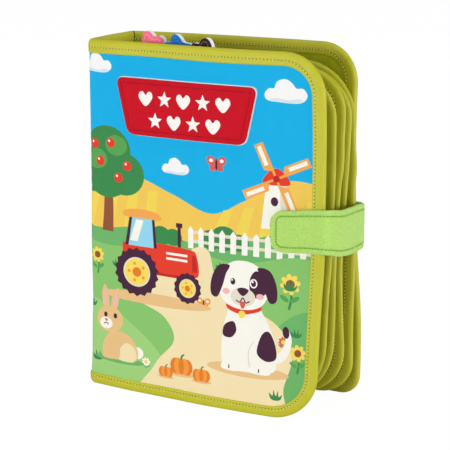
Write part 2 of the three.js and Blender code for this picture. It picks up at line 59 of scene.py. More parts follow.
jacket = {
    "height": 250,
    "width": 180,
    "depth": 64,
    "thick": 6,
    "topRadius": 28,
    "bottomRadius": {"front": 34, "back": 15},
    "foldRadius": 6.8,
    # at the top, down the fore-edge and at the bottom
    "tapeWidth": (9.4, 8.5, 8.6),
    "seam": (5.5, 6.6, 6.3),
    "sheetInset": 7,
    "printDepth": 0.6,
    "liningDepth": 5.5,
    # the padding is pressed thinner at a fold: by how much, and how far from it
    "foldPress": (2.6, 14),
    "spineBulge": 1.0,
    # the cloth's grid away from the folds and beside them
    "grid": (6, 7.5),
    "foldGrid": 1.0,
    "foldSpan": (12, 16),
    # the dark strip of painted shade inside a fold: its heights and how many, its widest reach and its share
    # of the bend
    "shadeLineHeights": (239.5, 9.5, 60),
    "shadeLineReach": (5.4, 0.55),
    # how far each cover's face stands from its flat plane, along its width
    "frontBow": [(0, 3.6), (8, 2.6), (25, 0.9), (53, -0.8), (90, -2.7), (118, -3.0), (148, -1.6), (180, 0.2)],
    "backBow": [(0, 0.2), (8, 0.8), (30, 3.2), (60, 5.4), (95, 6.4), (120, 6.0), (150, 3.8), (180, 0.4)],
    # how far the spine and the two fore-edges lean out, and the back one flares, by height
    "spineLean": [
        (0, -5), (9, -5), (20, -4.4), (43, -3.7), (65, -2.4), (99, -2.1), (142, -1.7), (185, -1.8), (250, -1),
    ],
    "frontLean": [
        (0, -2), (42, -1.7), (67, -0.8), (93, 0.6), (107, 1.4), (150, 1.8), (200, 1.9), (235, 0.8),
        (250, 0.5),
    ],
    "backLean": [(0, 1.5), (50, 1.5), (100, 0.3), (130, -0.8), (160, -1.6), (225, -1.6), (250, -0.6)],
    "backFlare": [(0, 6.5), (40, 6.8), (65, 5.6), (90, 2.6), (110, 0.6), (130, 0), (250, 0)],
    # the fore-edge's lean sets in here and is full this much further, and the spine's fades over its reach
    "leanStart": 92,
    "leanReach": 88,
    "spineReach": 60,
}

leaves = {
    "count": 4,
    "pitch": 11.5,
    "firstY": 19.0,
    "axisX": 11.0,
    "width": 168.5,
    "height": 232,
    "bottom": 4,
    "topRadius": [30, 26, 34, 40],
    "bottomRadius": [45, 42, 32, 24],
    "pageRadius": 42,
    "tapeHalf": 2.5,
    "tapeWidth": (10.5, 10.5, 10.5),
    "seam": (5.9, 5.9, 5.9),
    "tapeStart": 4,
    "rootHalf": 0.55,
    "rimHalf": 1.6,
    "crownHalf": 3.0,
    # where a leaf thickens from its root, and over what length
    "rootReach": (3.5, 6.5),
    # the crown starts at the root and at the tape, and is full this much further in
    "crownStart": (10, 10.8),
    "crownReach": 34,
    # no blowing up nearer than this to the rim or the root
    "pinned": (8.5, 10),
    "pageInset": 2,
    "pageGrid": 4.6,
    "puff": 1.5,
    # plan of the strip that sews a leaf to the spine, about the leaf's middle, its heights and how many,
    # and where it bends: from x to x, at a height
    "rootPlan": [
        (5.2, -0.4), (7.2, -0.55), (9.6, -0.45), (11.4, -0.4), (11.4, 0.4), (9.6, 0.45), (7.2, 0.55),
        (5.2, 0.4),
    ],
    "rootHeights": (11.2, 235.4, 60),
    "rootBend": (9.4, 11.4, 120),
    # how far each fore-edge lies behind its middle plane, past its width, and above its height
    "sway": [
        [(0, -3), (40, -2.8), (64, -2.2), (78, -1.2), (104, 0.6), (140, 1.2), (171, 1), (190, 0.5),
         (205, 0.8), (236, -1)],
        [(0, -1.6), (40, -1.8), (60, -1.4), (102, -1.4), (140, 0.2), (156, 0.8), (171, 2), (188, 1.9),
         (205, 2), (236, 0)],
        [(0, 0.2), (30, 0.8), (41, 0.9), (56, -0.6), (71, -1.4), (85, -1.9), (100, -1.6), (140, 0),
         (171, 1.1), (205, 1.7), (236, 0)],
        [(0, 0.8), (40, 0.9), (66, 0.6), (80, 0.9), (140, 0.8), (164, 1), (178, 0.5), (192, 0.3), (236, 0.3)],
    ],
    "lean": [
        [(0, -2.2), (40, -1.9), (64, -1.4), (78, -1.2), (91, -0.9), (104, -0.2), (140, 0.6), (171, 1.5),
         (205, 1.5), (236, 0)],
        [(0, -1.8), (40, -1.7), (60, -1.2), (102, -0.9), (140, 0), (156, 0.6), (171, 1.9), (188, 2.1),
         (205, 2.6), (236, 1)],
        [(0, 0), (41, -0.1), (56, -0.4), (71, -0.7), (85, -1), (100, -1.3), (140, -0.2), (171, 1.3),
         (188, 1.8), (205, 2.3), (236, 1)],
        [(0, 0.4), (26, 1.8), (51, 1.5), (80, 2), (94, 2.2), (140, 1.2), (150, 1.2), (164, 2), (178, 1.4),
         (205, 0.9), (236, 0.6)],
    ],
    "lift": [[(0, 2), (236, 0)], [(0, 3), (236, 0)], [(0, 4), (236, 0)], [(0, 0.5), (236, 3.5)]],
}


# Finishes
def linear(colour):
    return [((c / 255 + 0.055) / 1.055) ** 2.4 if c > 10 else c / 255 / 12.92 for c in colour]


def mathNode(tree, operation, *values):
    node = tree.nodes.new("ShaderNodeMath")
    node.operation = operation
    for socket, value in zip(node.inputs, values):
        if isinstance(value, (int, float)):
            socket.default_value = value
        else:
            tree.links.new(value, socket)
    return node.outputs[0]


# In mm: a weave is (pitch, height), a crease or a fuzz (grain, height), a mottle (second colour, grain)
def clothFinish(
    name, colour, roughness=0.8, sheen=0.15, weave=None, fuzz=None, mottle=None, crease=None, gloss=0.25,
):
    material = bpy.data.materials.new(name)
    material.use_nodes = True
    tree = material.node_tree
    nodes, links = tree.nodes, tree.links
    shader = nodes["Principled BSDF"]
    shader.inputs["Base Color"].default_value = (*linear(colour), 1)
    shader.inputs["Roughness"].default_value = roughness
    shader.inputs["Specular IOR Level"].default_value = gloss
    shader.inputs["Sheen Weight"].default_value = sheen
    shader.inputs["Sheen Roughness"].default_value = 0.4
    place = nodes.new("ShaderNodeTexCoord").outputs["Object"]

    def grain(size, detail=2.0):
        made = nodes.new("ShaderNodeTexNoise")
        links.new(place, made.inputs["Vector"])
        made.inputs["Scale"].default_value = 1000 / size
        made.inputs["Detail"].default_value = detail
        return made.outputs["Fac"]

    def bump(height, rise, before):
        made = nodes.new("ShaderNodeBump")
        made.inputs["Strength"].default_value = 1.0
        made.inputs["Distance"].default_value = rise / 1000
        links.new(height, made.inputs["Height"])
        if before:
            links.new(before, made.inputs["Normal"])
        return made.outputs["Normal"]

    normal = None
    if crease:
        normal = bump(grain(crease[0], 1.0), crease[1], normal)
    if weave:
        split = nodes.new("ShaderNodeSeparateXYZ")
        links.new(place, split.inputs[0])
        threads = 2 * math.pi * 1000 / weave[0]
        turns = [mathNode(tree, "MULTIPLY", split.outputs[axis], threads) for axis in "XYZ"]
        x, y, z = (mathNode(tree, "SINE", turn) for turn in turns)
        normal = bump(mathNode(tree, "ADD", mathNode(tree, "ADD", x, y), z), weave[1], normal)
    if fuzz:
        normal = bump(grain(fuzz[0]), fuzz[1], normal)
    if normal:
        links.new(normal, shader.inputs["Normal"])
    if mottle:
        blend = nodes.new("ShaderNodeMix")
        blend.data_type = "RGBA"
        blend.inputs["A"].default_value = (*linear(colour), 1)
        blend.inputs["B"].default_value = (*linear(mottle[0]), 1)
        links.new(grain(mottle[1], 3.0), blend.inputs["Factor"])
        links.new(blend.outputs["Result"], shader.inputs["Base Color"])
    return material


printColours = {
    "sky": (12, 180, 236),
    "haze": (110, 206, 240),
    "cloud": (252, 252, 252),
    "cloudShade": (222, 234, 242),
    "sun": (255, 226, 96),
    "field": (249, 206, 90),
    "fieldLight": (250, 220, 88),
    "meadow": (140, 202, 112),
    "meadowLight": (164, 214, 128),
    "meadowDark": (112, 186, 108),
    "bush": (60, 142, 78),
    "leafGreen": (92, 168, 84),
    "path": (250, 231, 184),
    "pathShade": (240, 198, 138),
    "plum": (72, 36, 60),
    "cream": (255, 252, 242),
    "creamShade": (238, 226, 208),
    "red": (236, 62, 42),
    "redDark": (200, 40, 36),
    "orange": (250, 160, 62),
    "orangeDark": (236, 128, 44),
    "roof": (250, 172, 84),
    "coral": (226, 96, 82),
    "blush": (250, 188, 186),
    "wood": (150, 88, 56),
    "glass": (150, 220, 244),
    "pond": (70, 170, 214),
}
printFinish = {
    name: clothFinish("print_" + name, colour, 0.68, 0, weave=(0.7, 0.07), fuzz=(1.1, 0.07), gloss=0.2)
    for name, colour in printColours.items()
}
finish = {
    "tape": clothFinish(
        "lime_tape", (193, 191, 16), 0.4, 0, weave=(0.5, 0.02), fuzz=(0.7, 0.03), mottle=((181, 178, 10), 22),
        crease=(6, 0.2), gloss=0.5,
    ),
    "tapeThread": clothFinish("lime_thread", (216, 214, 100), 0.6),
    # painted shade: the dark discs in the tape's needle holes
    "needleHoleShade": clothFinish("needle_hole_shade", (104, 98, 10), 0.9),
    # painted shade for the dark strip inside each fold
    "crease": clothFinish("fold_shade", (60, 54, 4), 0.9),
    "felt": clothFinish(
        "olive_felt", (212, 213, 40), 0.95, 0.1, fuzz=(0.9, 0.16), mottle=((164, 172, 24), 9),
    ),
    "page": clothFinish(
        "page_cloth", (244, 240, 226), weave=(0.62, 0.04), fuzz=(0.6, 0.04), crease=(14, 0.5),
    ),
    "root": clothFinish("leaf_tab_cloth", (120, 140, 34), 0.9, fuzz=(0.8, 0.1)),
    "red": clothFinish("red_cloth", (209, 6, 32), 0.76, 0, weave=(0.8, 0.09), fuzz=(0.9, 0.1), gloss=0.2),
    "redThread": clothFinish("red_thread", (150, 4, 20), 0.7),
    # painted shade: the dark discs in the patch's needle holes
    "redHoleShade": clothFinish("red_hole_shade", (110, 2, 14), 0.9),
    "whitePrint": clothFinish("white_print", (246, 240, 236), 0.7, weave=(0.6, 0.03)),
    "white": clothFinish("white_felt", (243, 243, 241), 0.9, 0.3, fuzz=(0.7, 0.14)),
    "strap": clothFinish(
        "green_velvet", (192, 228, 124), 0.9, 0.2, fuzz=(1.1, 0.34), mottle=((146, 192, 80), 1.3),
    ),
    "strapThread": clothFinish("green_thread", (152, 198, 88)),
    # painted shade: the dark discs in the strap's needle holes
    "strapHoleShade": clothFinish("green_hole_shade", (84, 132, 34), 0.9),
    "pink": clothFinish(
        "pink_plush", (236, 92, 126), 0.9, 0.3, fuzz=(0.9, 0.2), mottle=((246, 124, 152), 2.5),
    ),
    "pinkThread": clothFinish("pink_thread", (255, 184, 196)),
    "blue": clothFinish("blue_plush", (10, 96, 186), 0.9, 0.2, fuzz=(0.9, 0.2), mottle=((28, 118, 204), 2.5)),
    "blueThread": clothFinish("blue_thread", (64, 146, 218)),
    "black": clothFinish("black_plush", (34, 16, 18), 0.9, 0.2, fuzz=(0.9, 0.2), mottle=((58, 34, 34), 2.5)),
    "blackThread": clothFinish("black_thread", (146, 120, 116)),
    "hook": clothFinish("hook_tape", (236, 240, 228), 0.6, weave=(1.4, 0.3)),
    "loop": clothFinish("loop_tape", (232, 238, 222), 0.95, 0.5, fuzz=(0.8, 0.3)),
}


# Meshes
def toRow(points):
    return np.asarray(points, float) / 1000 + bookCorner


def meshPiece(name, points, faces, finishes, marks=None, closed=True, smooth=True):
    mesh = bpy.data.meshes.new(name)
    mesh.from_pydata([tuple(p) for p in toRow(points)], [], [tuple(int(i) for i in f) for f in faces])
    for material in finishes:
        mesh.materials.append(material)
    if marks is not None:
        mesh.polygons.foreach_set("material_index", np.asarray(marks, np.int32))
    if closed:
        work = bmesh.new()
        work.from_mesh(mesh)
        bmesh.ops.recalc_face_normals(work, faces=work.faces)
        work.to_mesh(mesh)
        work.free()
    mesh.polygons.foreach_set("use_smooth", np.full(len(mesh.polygons), smooth))
    mesh.update()
    piece = bpy.data.objects.new(name, mesh)
    bpy.context.scene.collection.objects.link(piece)
    return piece


def bendBetween(piece, still, moving, start, end):
    first, last = (tuple(p) for p in toRow([start, end]))
    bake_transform(piece)


def tubeFaces(count, ring):
    faces = [
        [i * ring + j, i * ring + (j + 1) % ring, (i + 1) * ring + (j + 1) % ring, (i + 1) * ring + j]
        for i in range(count - 1) for j in range(ring)
    ]
    return faces + [list(range(ring))[::-1], [(count - 1) * ring + j for j in range(ring)]]


def closedFaces(triangles, n):
    # a layer of triangles, its copy n points further on, and the sides that join their rims
    rim = {(t[i], t[(i + 1) % 3]) for t in triangles for i in range(3)}
    sides = [[q, p, p + n, q + n] for p, q in sorted(rim) if (q, p) not in rim]
    return [list(t) for t in triangles] + [[i + n for i in t][::-1] for t in triangles] + sides


def smoothRun(table, at):
    xs, ys = (np.array(v, float) for v in zip(*table))
    slopes = np.gradient(ys, xs)
    at = np.clip(np.asarray(at, float), xs[0], xs[-1])
    i = np.clip(np.searchsorted(xs, at) - 1, 0, len(xs) - 2)
    span = xs[i + 1] - xs[i]
    t = (at - xs[i]) / span
    low = ys[i] * (2 * t**3 - 3 * t**2 + 1) + slopes[i] * span * (t**3 - 2 * t**2 + t)
    return low + ys[i + 1] * (3 * t**2 - 2 * t**3) + slopes[i + 1] * span * (t**3 - t**2)


def smoothCurve(points, steps, ring=False):
    points = np.asarray(points, float)
    n = len(points)
    line = []
    for i in range(n if ring else n - 1):
        a, b, c, d = (points[(i + k) % n if ring else min(max(i + k, 0), n - 1)] for k in (-1, 0, 1, 2))
        bend, twist = 2 * a - 5 * b + 4 * c - d, 3 * b - a - 3 * c + d
        line += [0.5 * (2 * b + (c - a) * t + bend * t**2 + twist * t**3) for t in np.arange(steps) / steps]
    return line if ring else line + [points[-1]]


# The jacket's outer face in plan, from the back fore-edge round the spine to the front fore-edge
def jacketPlan():
    s = jacket
    r = s["foldRadius"]
    along = np.arange(r, s["width"] + 0.01, 0.5)
    front = np.stack([along, smoothRun(s["frontBow"], along)], 1)
    back = np.stack([along, s["depth"] + smoothRun(s["backBow"], along)], 1)[::-1]
    turn = np.linspace(0, math.pi / 2, 26)[1:-1]
    backFold = np.stack([r - r * np.sin(turn), back[-1, 1] - r + r * np.cos(turn)], 1)
    frontFold = np.stack([r - r * np.cos(turn), front[0, 1] + r - r * np.sin(turn)], 1)
    down = np.linspace(back[-1, 1] - r, front[0, 1] + r, 60)
    share = np.linspace(0, 1, 60)
    spine = np.stack([-s["spineBulge"] * np.sin(math.pi * share) ** 2, down], 1)
    path = np.concatenate([back, backFold, spine, frontFold, front])
    step = np.linalg.norm(np.diff(path, axis=0), axis=1)
    along = np.concatenate([[0], np.cumsum(step)])
    frontStart = len(back) + len(backFold) + len(spine) + len(frontFold)
    along += r - along[frontStart]
    way = np.gradient(path, along, axis=0)
    way /= np.linalg.norm(way, axis=1)[:, None]
    spineMiddle = along[len(back) + len(backFold) + 30]
    return along, path, np.stack([way[:, 1], -way[:, 0]], 1), float(spineMiddle)


planAlong, planPath, planOut, spineMiddle = jacketPlan()
frontEnd, backEnd = float(planAlong[-1]), float(planAlong[0])


def ease(t):
    t = np.clip(t, 0, 1)
    return t * t * (3 - 2 * t)


def onJacket(points):
    s = jacket
    a, z, depth = np.asarray(points, float).T
    # the padding is never quite even
    depth = depth + 0.3 * np.sin(a / 17 + 1.3) * np.sin(z / 23 + 0.4) + 0.15 * np.sin(a / 8.3 + z / 29)
    past = np.maximum(a - frontEnd, 0) + np.maximum(backEnd - a, 0)
    across = np.interp(a, planAlong, planPath[:, 0]) + past
    x = across - np.interp(a, planAlong, planOut[:, 0]) * depth
    y = np.interp(a, planAlong, planPath[:, 1]) - np.interp(a, planAlong, planOut[:, 1]) * depth
    edge = ease((across - s["leanStart"]) / s["leanReach"])
    lean = np.where(a < spineMiddle, smoothRun(s["backLean"], z), smoothRun(s["frontLean"], z))
    x += lean * edge + smoothRun(s["spineLean"], z) * (1 - ease(across / s["spineReach"]))
    y += np.where(a < spineMiddle, smoothRun(s["backFlare"], z), 0) * edge
    return np.stack([x, y, z], 1)


def onLeaf(n):
    def place(points):
        u, z, depth = np.asarray(points, float).T
        share = np.clip(u / leaves["width"], 0, 1.02)
        height = leaves["bottom"] + z
        x = leaves["axisX"] + u + smoothRun(leaves["lean"][n], height) * share**2
        y = leaves["firstY"] + n * leaves["pitch"] + depth + smoothRun(leaves["sway"][n], height) * share**1.6
        return np.stack([x, y, height + np.interp(height, *zip(*leaves["lift"][n])) * share**1.5], 1)

    return place


# Edge paths hold (along, z, inwardAlong, inwardZ) at even steps
def evenly(points, step, ring=False):
    points = np.asarray(points, float)
    if ring:
        points = np.concatenate([points, points[:1]])
    length = np.concatenate([[0], np.cumsum(np.linalg.norm(np.diff(points, axis=0), axis=1))])
    count = max(4, int(round(length[-1] / step)))
    at = np.linspace(0, length[-1], count + 1)
    if ring:
        at = at[:-1]
    return np.stack([np.interp(at, length, points[:, i]) for i in range(2)], 1)


def edgePath(points, step, ring=False, inward=1):
    spots = evenly(points, step, ring)
    if ring:
        way = np.roll(spots, -1, axis=0) - np.roll(spots, 1, axis=0)
    else:
        way = np.gradient(spots, axis=0)
    way /= np.linalg.norm(way, axis=1)[:, None]
    return np.concatenate([spots, inward * np.stack([way[:, 1], -way[:, 0]], 1)], 1)


def cornerArc(centre, radius, start, end, steps=24):
    turn = np.radians(np.linspace(start, end, steps))
    return [(centre[0] + radius * math.cos(t), centre[1] + radius * math.sin(t)) for t in turn]


# Along the top from the spine, down the fore-edge and back along the bottom
def rimPoints(start, right, bottom, top, topRadius, bottomRadius):
    points = [(start, top)]
    points += cornerArc((right - topRadius, top - topRadius), topRadius, 90, 0)
    points += cornerArc((right - bottomRadius, bottom + bottomRadius), bottomRadius, 0, -90)
    return points + [(start, bottom)]


def tapeProfile(width, half, seam, rimReach=3.4):
    # (inset from the edge, distance from the middle): a folded tape, rounded at the rim, sunk at its seam
    roundness = 2.1
    points = [
        (rimReach * t, half * (1 - (1 - t) ** roundness) ** (1 / roundness))
        for t in (0.004, 0.03, 0.1, 0.22, 0.4, 0.62, 0.85)
    ]
    # (inset, rise) of a tape with its seam 7.85 mm in, drawn out or in to the seam and width asked for
    face = [
        (1, 0), (2.2, 0.2), (3.8, 0.34), (5.4, 0.34), (6.5, 0.22), (7.1, 0.08), (7.5, -0.02), (7.85, -0.06),
        (8.2, -0.02), (8.6, 0.08), (9.1, 0.16), (9.8, 0.1), (10.3, -0.16), (10.45, -0.55),
    ]
    first, sewn, last = 1, 7.85, 10.45
    rimScale, seamScale = min(1, (seam - rimReach) / 4.4), min(1, width / 10.5)
    for at, rise in face:
        if at < sewn:
            spot = rimReach + (at - first) * (seam - rimReach) / (sewn - first)
            points.append((spot, half + rise * rimScale))
        else:
            spot = seam + (at - sewn) * (width - seam) / (last - sewn)
            points.append((spot, half + rise * seamScale))
    return points


# (top, side, bottom) values along an edge path, by the way each of its points faces
def byRun(path, values):
    top, side, bottom = values
    share = path[:, 2] ** 2
    return share * side + (1 - share) * np.where(path[:, 3] < 0, top, bottom)


def tapePiece(name, path, place, middle, half, width, seam, rimReach=3.4, ripple=0.14):
    sides = [tapeProfile(w, half, s, rimReach) for w, s in zip(byRun(path, width), byRun(path, seam))]
    profile = np.array([[(s, -d) for s, d in reversed(side)] + [(0, 0)] + side for side in sides])
    count, ring = profile.shape[:2]
    step = np.arange(count)[:, None]
    fade = np.clip(profile[:, :, 0] / max(width), 0, 1)
    waves = np.sin(step / 3.1 + 2 * np.sin(step / 11.0)) * 0.5 + np.sin(step / 7.3 + 1.1) * 0.5
    swell = 1 + ripple * waves * fade / half
    inset = profile[:, :, 0] + 0.22 * np.sin(step / 13.7) * fade
    points = np.stack([
        path[:, 0:1] + inset * path[:, 2:3],
        path[:, 1:2] + inset * path[:, 3:4],
        middle + profile[:, :, 1] * swell,
    ], 2).reshape(-1, 3)
    return meshPiece(name, place(points), tubeFaces(count, ring), [finish["tape"]])


# Rows of stitches, each a raised thread with a needle hole after it, that hole a dark disc of painted shade.
# A row is a path with the way inwards, what lays it out, its inset, its depth and the side it is seen from.
def stitchPiece(name, rows, finishes, pitch=2.5, length=1.6, thick=0.3, wide=0.42, holeShadeRadius=0.4):
    points, faces, marks = [], [], []
    turns = [math.pi * k / 3 for k in range(6)]
    thread = tubeFaces(5, 6)
    for path, place, inset, depth, out in rows:
        lane = path[:, :2] + np.reshape(inset, (-1, 1)) * path[:, 2:]
        gap = np.linalg.norm(np.diff(lane, axis=0), axis=1)
        run = np.concatenate([[0], np.cumsum(gap)])
        spots = np.arange(pitch, run[-1] - pitch / 2, pitch)

        def flat(at, lift):
            base = np.stack([np.interp(at, run, lane[:, k]) for k in range(2)], 1)
            return place(np.concatenate([base, np.full((len(at), 1), depth) - out * lift], 1))

        start, end = flat(spots - length / 2, 0), flat(spots + length / 2, 0)
        up = flat(spots, 1) - flat(spots, 0)
        up /= np.linalg.norm(up, axis=1)[:, None]
        way = end - start
        across = np.cross(way, up)
        across /= np.linalg.norm(across, axis=1)[:, None]
        rings = [
            start + way * share
            + across * (wide * size * math.cos(t)) + up * (thick * size * (0.55 + math.sin(t)))
            for share, size in ((0, 0.3), (0.16, 0.85), (0.5, 1), (0.84, 0.85), (1, 0.3)) for t in turns
        ]
        for n in range(len(spots)):
            faces += [[len(points) + n * len(rings) + i for i in face] for face in thread]
        marks += [0] * (len(thread) * len(spots))
        points.extend(np.stack(rings, 1).reshape(-1, 3).tolist())
        if len(finishes) > 1:
            # a dark disc of painted shade stands in for each needle hole
            middle = flat(spots + pitch / 2, 0)
            forward = way / np.linalg.norm(way, axis=1)[:, None]
            discs = [middle + up * 0.16]
            rim = middle + up * 0.02
            for t in turns:
                discs.append(rim + forward * (holeShadeRadius * math.cos(t)) + across * (holeShadeRadius * math.sin(t)))
            for n in range(len(spots)):
                first = len(points) + n * 7
                faces += [(first, first + 1 + (k + 1) % 6, first + 1 + k) for k in range(6)]
            marks += [1] * (6 * len(spots))
            points.extend(np.stack(discs, 1).reshape(-1, 3).tolist())
    return meshPiece(name, points, faces, finishes, marks, closed=False)


# Flat shapes for the prints, in (along, z)
def oval(a, z, wide, high, turn=0.0, steps=26):
    c, s = math.cos(math.radians(turn)), math.sin(math.radians(turn))
    turns = [2 * math.pi * i / steps for i in range(steps)]
    ring = [(wide * math.cos(t), high * math.sin(t)) for t in turns]
    return [(a + u * c - v * s, z + u * s + v * c) for u, v in ring]


def blob(points, steps=5):
    return [tuple(p) for p in smoothCurve(points, steps, True)]


def stroke(points, wide, tip=None):
    line = np.array(smoothCurve(points, 6))
    way = np.gradient(line, axis=0)
    way /= np.linalg.norm(way, axis=1)[:, None]
    side = np.stack([-way[:, 1], way[:, 0]], 1)
    half = np.linspace(wide, wide if tip is None else tip, len(line))[:, None] / 2
    return [tuple(p) for p in np.concatenate([line + side * half, (line - side * half)[::-1]])]


def slabOf(left, low, right, high):
    return [(left, low), (right, low), (right, high), (left, high)]


def rays(a, z, inner, outer, points, turn=90):
    ring = []
    for i in range(points * 2):
        reach = outer if i % 2 == 0 else inner
        t = math.radians(turn + 180 * i / points)
        ring.append((a + reach * math.cos(t), z + reach * math.sin(t)))
    return ring


# Drawings for the prints. A part is (paint, kind, where, sizes) in the drawing's own units from its foot:
# a flat outline, a blob and its steps, a stroke, its width and tip, or an oval, its radii, turn and steps.
def drawn(a, z, s, parts):
    def at(spots):
        return [(a + u * s, z + v * s) for u, v in spots]

    shapes = []
    for paint, kind, where, *sizes in parts:
        if kind == "flat":
            ring = at(where)
        elif kind == "blob":
            ring = blob(at(where), *sizes)
        elif kind == "stroke":
            ring = stroke(at(where), *(size * s for size in sizes))
        else:
            ring = oval(*at([where])[0], sizes[0] * s, sizes[1] * s, *sizes[2:])
        shapes.append((paint, ring))
    return shapes


def cloudAt(a, z, s):
    return drawn(a, z, s, [
        ("cloud", "blob", [
            (-13, -4), (-15, 0), (-12, 4), (-8, 4.5), (-6, 9), (0, 11), (5, 8.5), (8, 5), (13, 5), (16, 0.5),
            (13, -4), (6, -5.5), (-5, -5),
        ]),
        ("cloudShade", "blob", [
            (-12, -3.6), (-6, -2.4), (2, -3.4), (10, -2.2), (13, -3.6), (6, -5.4), (-5, -4.9),
        ]),
    ])


def treeAt(a, z, s, fruit=()):
    parts = [("wood", "stroke", [(0, 0), (0.5, 14), (0, 24)], 6, 4)]
    crowns = ((-9, 28, 11), (9, 28, 11), (0, 38, 13), (0, 27, 12))
    parts += [("bush", "oval", (u, v), r, r * 0.92) for u, v, r in crowns]
    parts += [("leafGreen", "oval", (u, v), 6, 4.8) for u, v in ((-6, 34), (5, 41))]
    for u, v in fruit:
        parts += [("red", "oval", (u, v), 2.3, 2.3), ("cream", "oval", (u - 0.8, v + 0.8), 0.6, 0.6)]
    return drawn(a, z, s, parts)


def flowerAt(a, z, s, petals="sun", heart="wood", stem=16):
    parts = [("bush", "stroke", [(0, 0), (1.2, stem / 2), (0, stem)], 1.6)]
    parts += [("leafGreen", "oval", (side * 3.4, stem * 0.42), 3.4, 1.5, side * 32) for side in (-1, 1)]
    for turn in range(12, 372, 45):
        t = math.radians(turn)
        parts.append((petals, "oval", (4.1 * math.cos(t), stem + 4.1 * math.sin(t)), 2.7, 1.7, turn, 14))
    return drawn(a, z, s, parts + [(heart, "oval", (0, stem), 2.9, 2.9, 0, 18)])


def tuftAt(a, z, s):
    return drawn(a, z, s, [("bush", "blob", [
        (-6, 5), (-4.6, 0), (0, -1.5), (4.8, 0), (6.2, 4.4), (3.2, 2.2), (2.4, 7.4), (0.4, 2.6),
        (-1.8, 7.8), (-2.6, 2.6),
    ], 4)])


def butterflyAt(a, z, s, colour):
    parts = []
    for side in (-1, 1):
        parts += [
            (colour, "oval", (side * 2.7, 1.7), 2.7, 2.1, side * 35 + 6, 16),
            ("cream", "oval", (side * 2.8, 1.9), 1.1, 0.9, 0, 12),
            (colour, "oval", (side * 1.9, -1.6), 1.8, 1.6, -side * 30, 14),
        ]
    return drawn(a, z, s, parts + [("plum", "oval", (0, 0), 0.55, 2.9, 0, 12)])


def pumpkinAt(a, z, s):
    return drawn(a, z, s, [
        ("pathShade", "oval", (0, -6), 11, 2),
        ("orangeDark", "oval", (-5, 0), 4.6, 6.2),
        ("orangeDark", "oval", (5, 0), 4.6, 6.2),
        ("orange", "oval", (-2.6, 0.1 / s), 3.9, 6.4),
        ("orange", "oval", (2.6, 0.1 / s), 3.9, 6.4),
        ("orangeDark", "oval", (0, 0.2 / s), 2.3, 6.3),
        ("bush", "stroke", [(0, 5.6), (0.6, 8), (2.6, 9.6)], 1.8, 1.2),
    ])


def fenceFrom(start, end, z, pitch=8.2):
    shapes = [("creamShade", slabOf(start - 2, z + h, end + 2, z + h + 2.2)) for h in (4.2, 10.4)]
    for k in range(int((end - start) / pitch) + 1):
        a = start + k * pitch
        picket = [(-2.1, 0), (2.1, 0), (2.1, 13), (0, 15.8), (-2.1, 13)]
        shapes += drawn(a, z, 1, [("cream", "flat", picket)])
    return shapes


def hillOf(colour, crest, low=-5):
    line = stroke(crest, 0.02)
    upper = line[: len(line) // 2]
    return [(colour, upper + [(crest[-1][0], low), (crest[0][0], low)])]


def furrows(foot, crest, count, low):
    # light stripes that fan from a foot on the horizon's near side up to the crest
    (left, crestLeft), (right, crestRight) = crest
    shapes = []
    for k in range(count):
        shares = (k + 0.1) / count, (k + 0.6) / count
        ends = [(left + (right - left) * t, crestLeft + (crestRight - crestLeft) * t) for t in shares]
        feet = [(foot[0] + (foot[1] - foot[0]) * t, low) for t in shares]
        bend = [(e[0] * 0.35 + f[0] * 0.65, e[1] * 0.5 + f[1] * 0.5) for e, f in zip(ends, feet)]
        shapes.append(("fieldLight", [ends[0], bend[0], feet[0], feet[1], bend[1], ends[1]]))
    return shapes


def windmillAt(a, z, s):
    parts = [
        ("cream", "flat", [(-9, 0), (9, 0), (6, 27), (-6, 27)]),
        ("creamShade", "flat", [(3, 0), (9, 0), (6, 27), (2, 27)]),
        ("red", "blob", [(-7.6, 26), (-5.2, 32), (0, 35), (5.2, 32), (7.6, 26)]),
        ("plum", "oval", (-1, 16), 2.2, 2.6),
        ("wood", "blob", [(-3.2, 0), (-3.2, 6), (-0.6, 8.6), (2, 6), (2, 0)], 3),
    ]
    vane = [(2, -0.7), (22, -0.7), (22, 4.8), (7, 4.8), (5, 0.7), (2, 0.7)]
    for k in range(4):
        t = math.radians(24 + 90 * k)
        for paint, ring in (("roof", vane), ("cream", slabOf(9, 1.2, 20.5, 3.6))):
            turned = [
                (u * math.cos(t) - v * math.sin(t), 29 + u * math.sin(t) + v * math.cos(t)) for u, v in ring
            ]
            parts.append((paint, "flat", turned))
    return drawn(a, z, s, parts + [("redDark", "oval", (0, 29), 2, 2, 0, 16)])


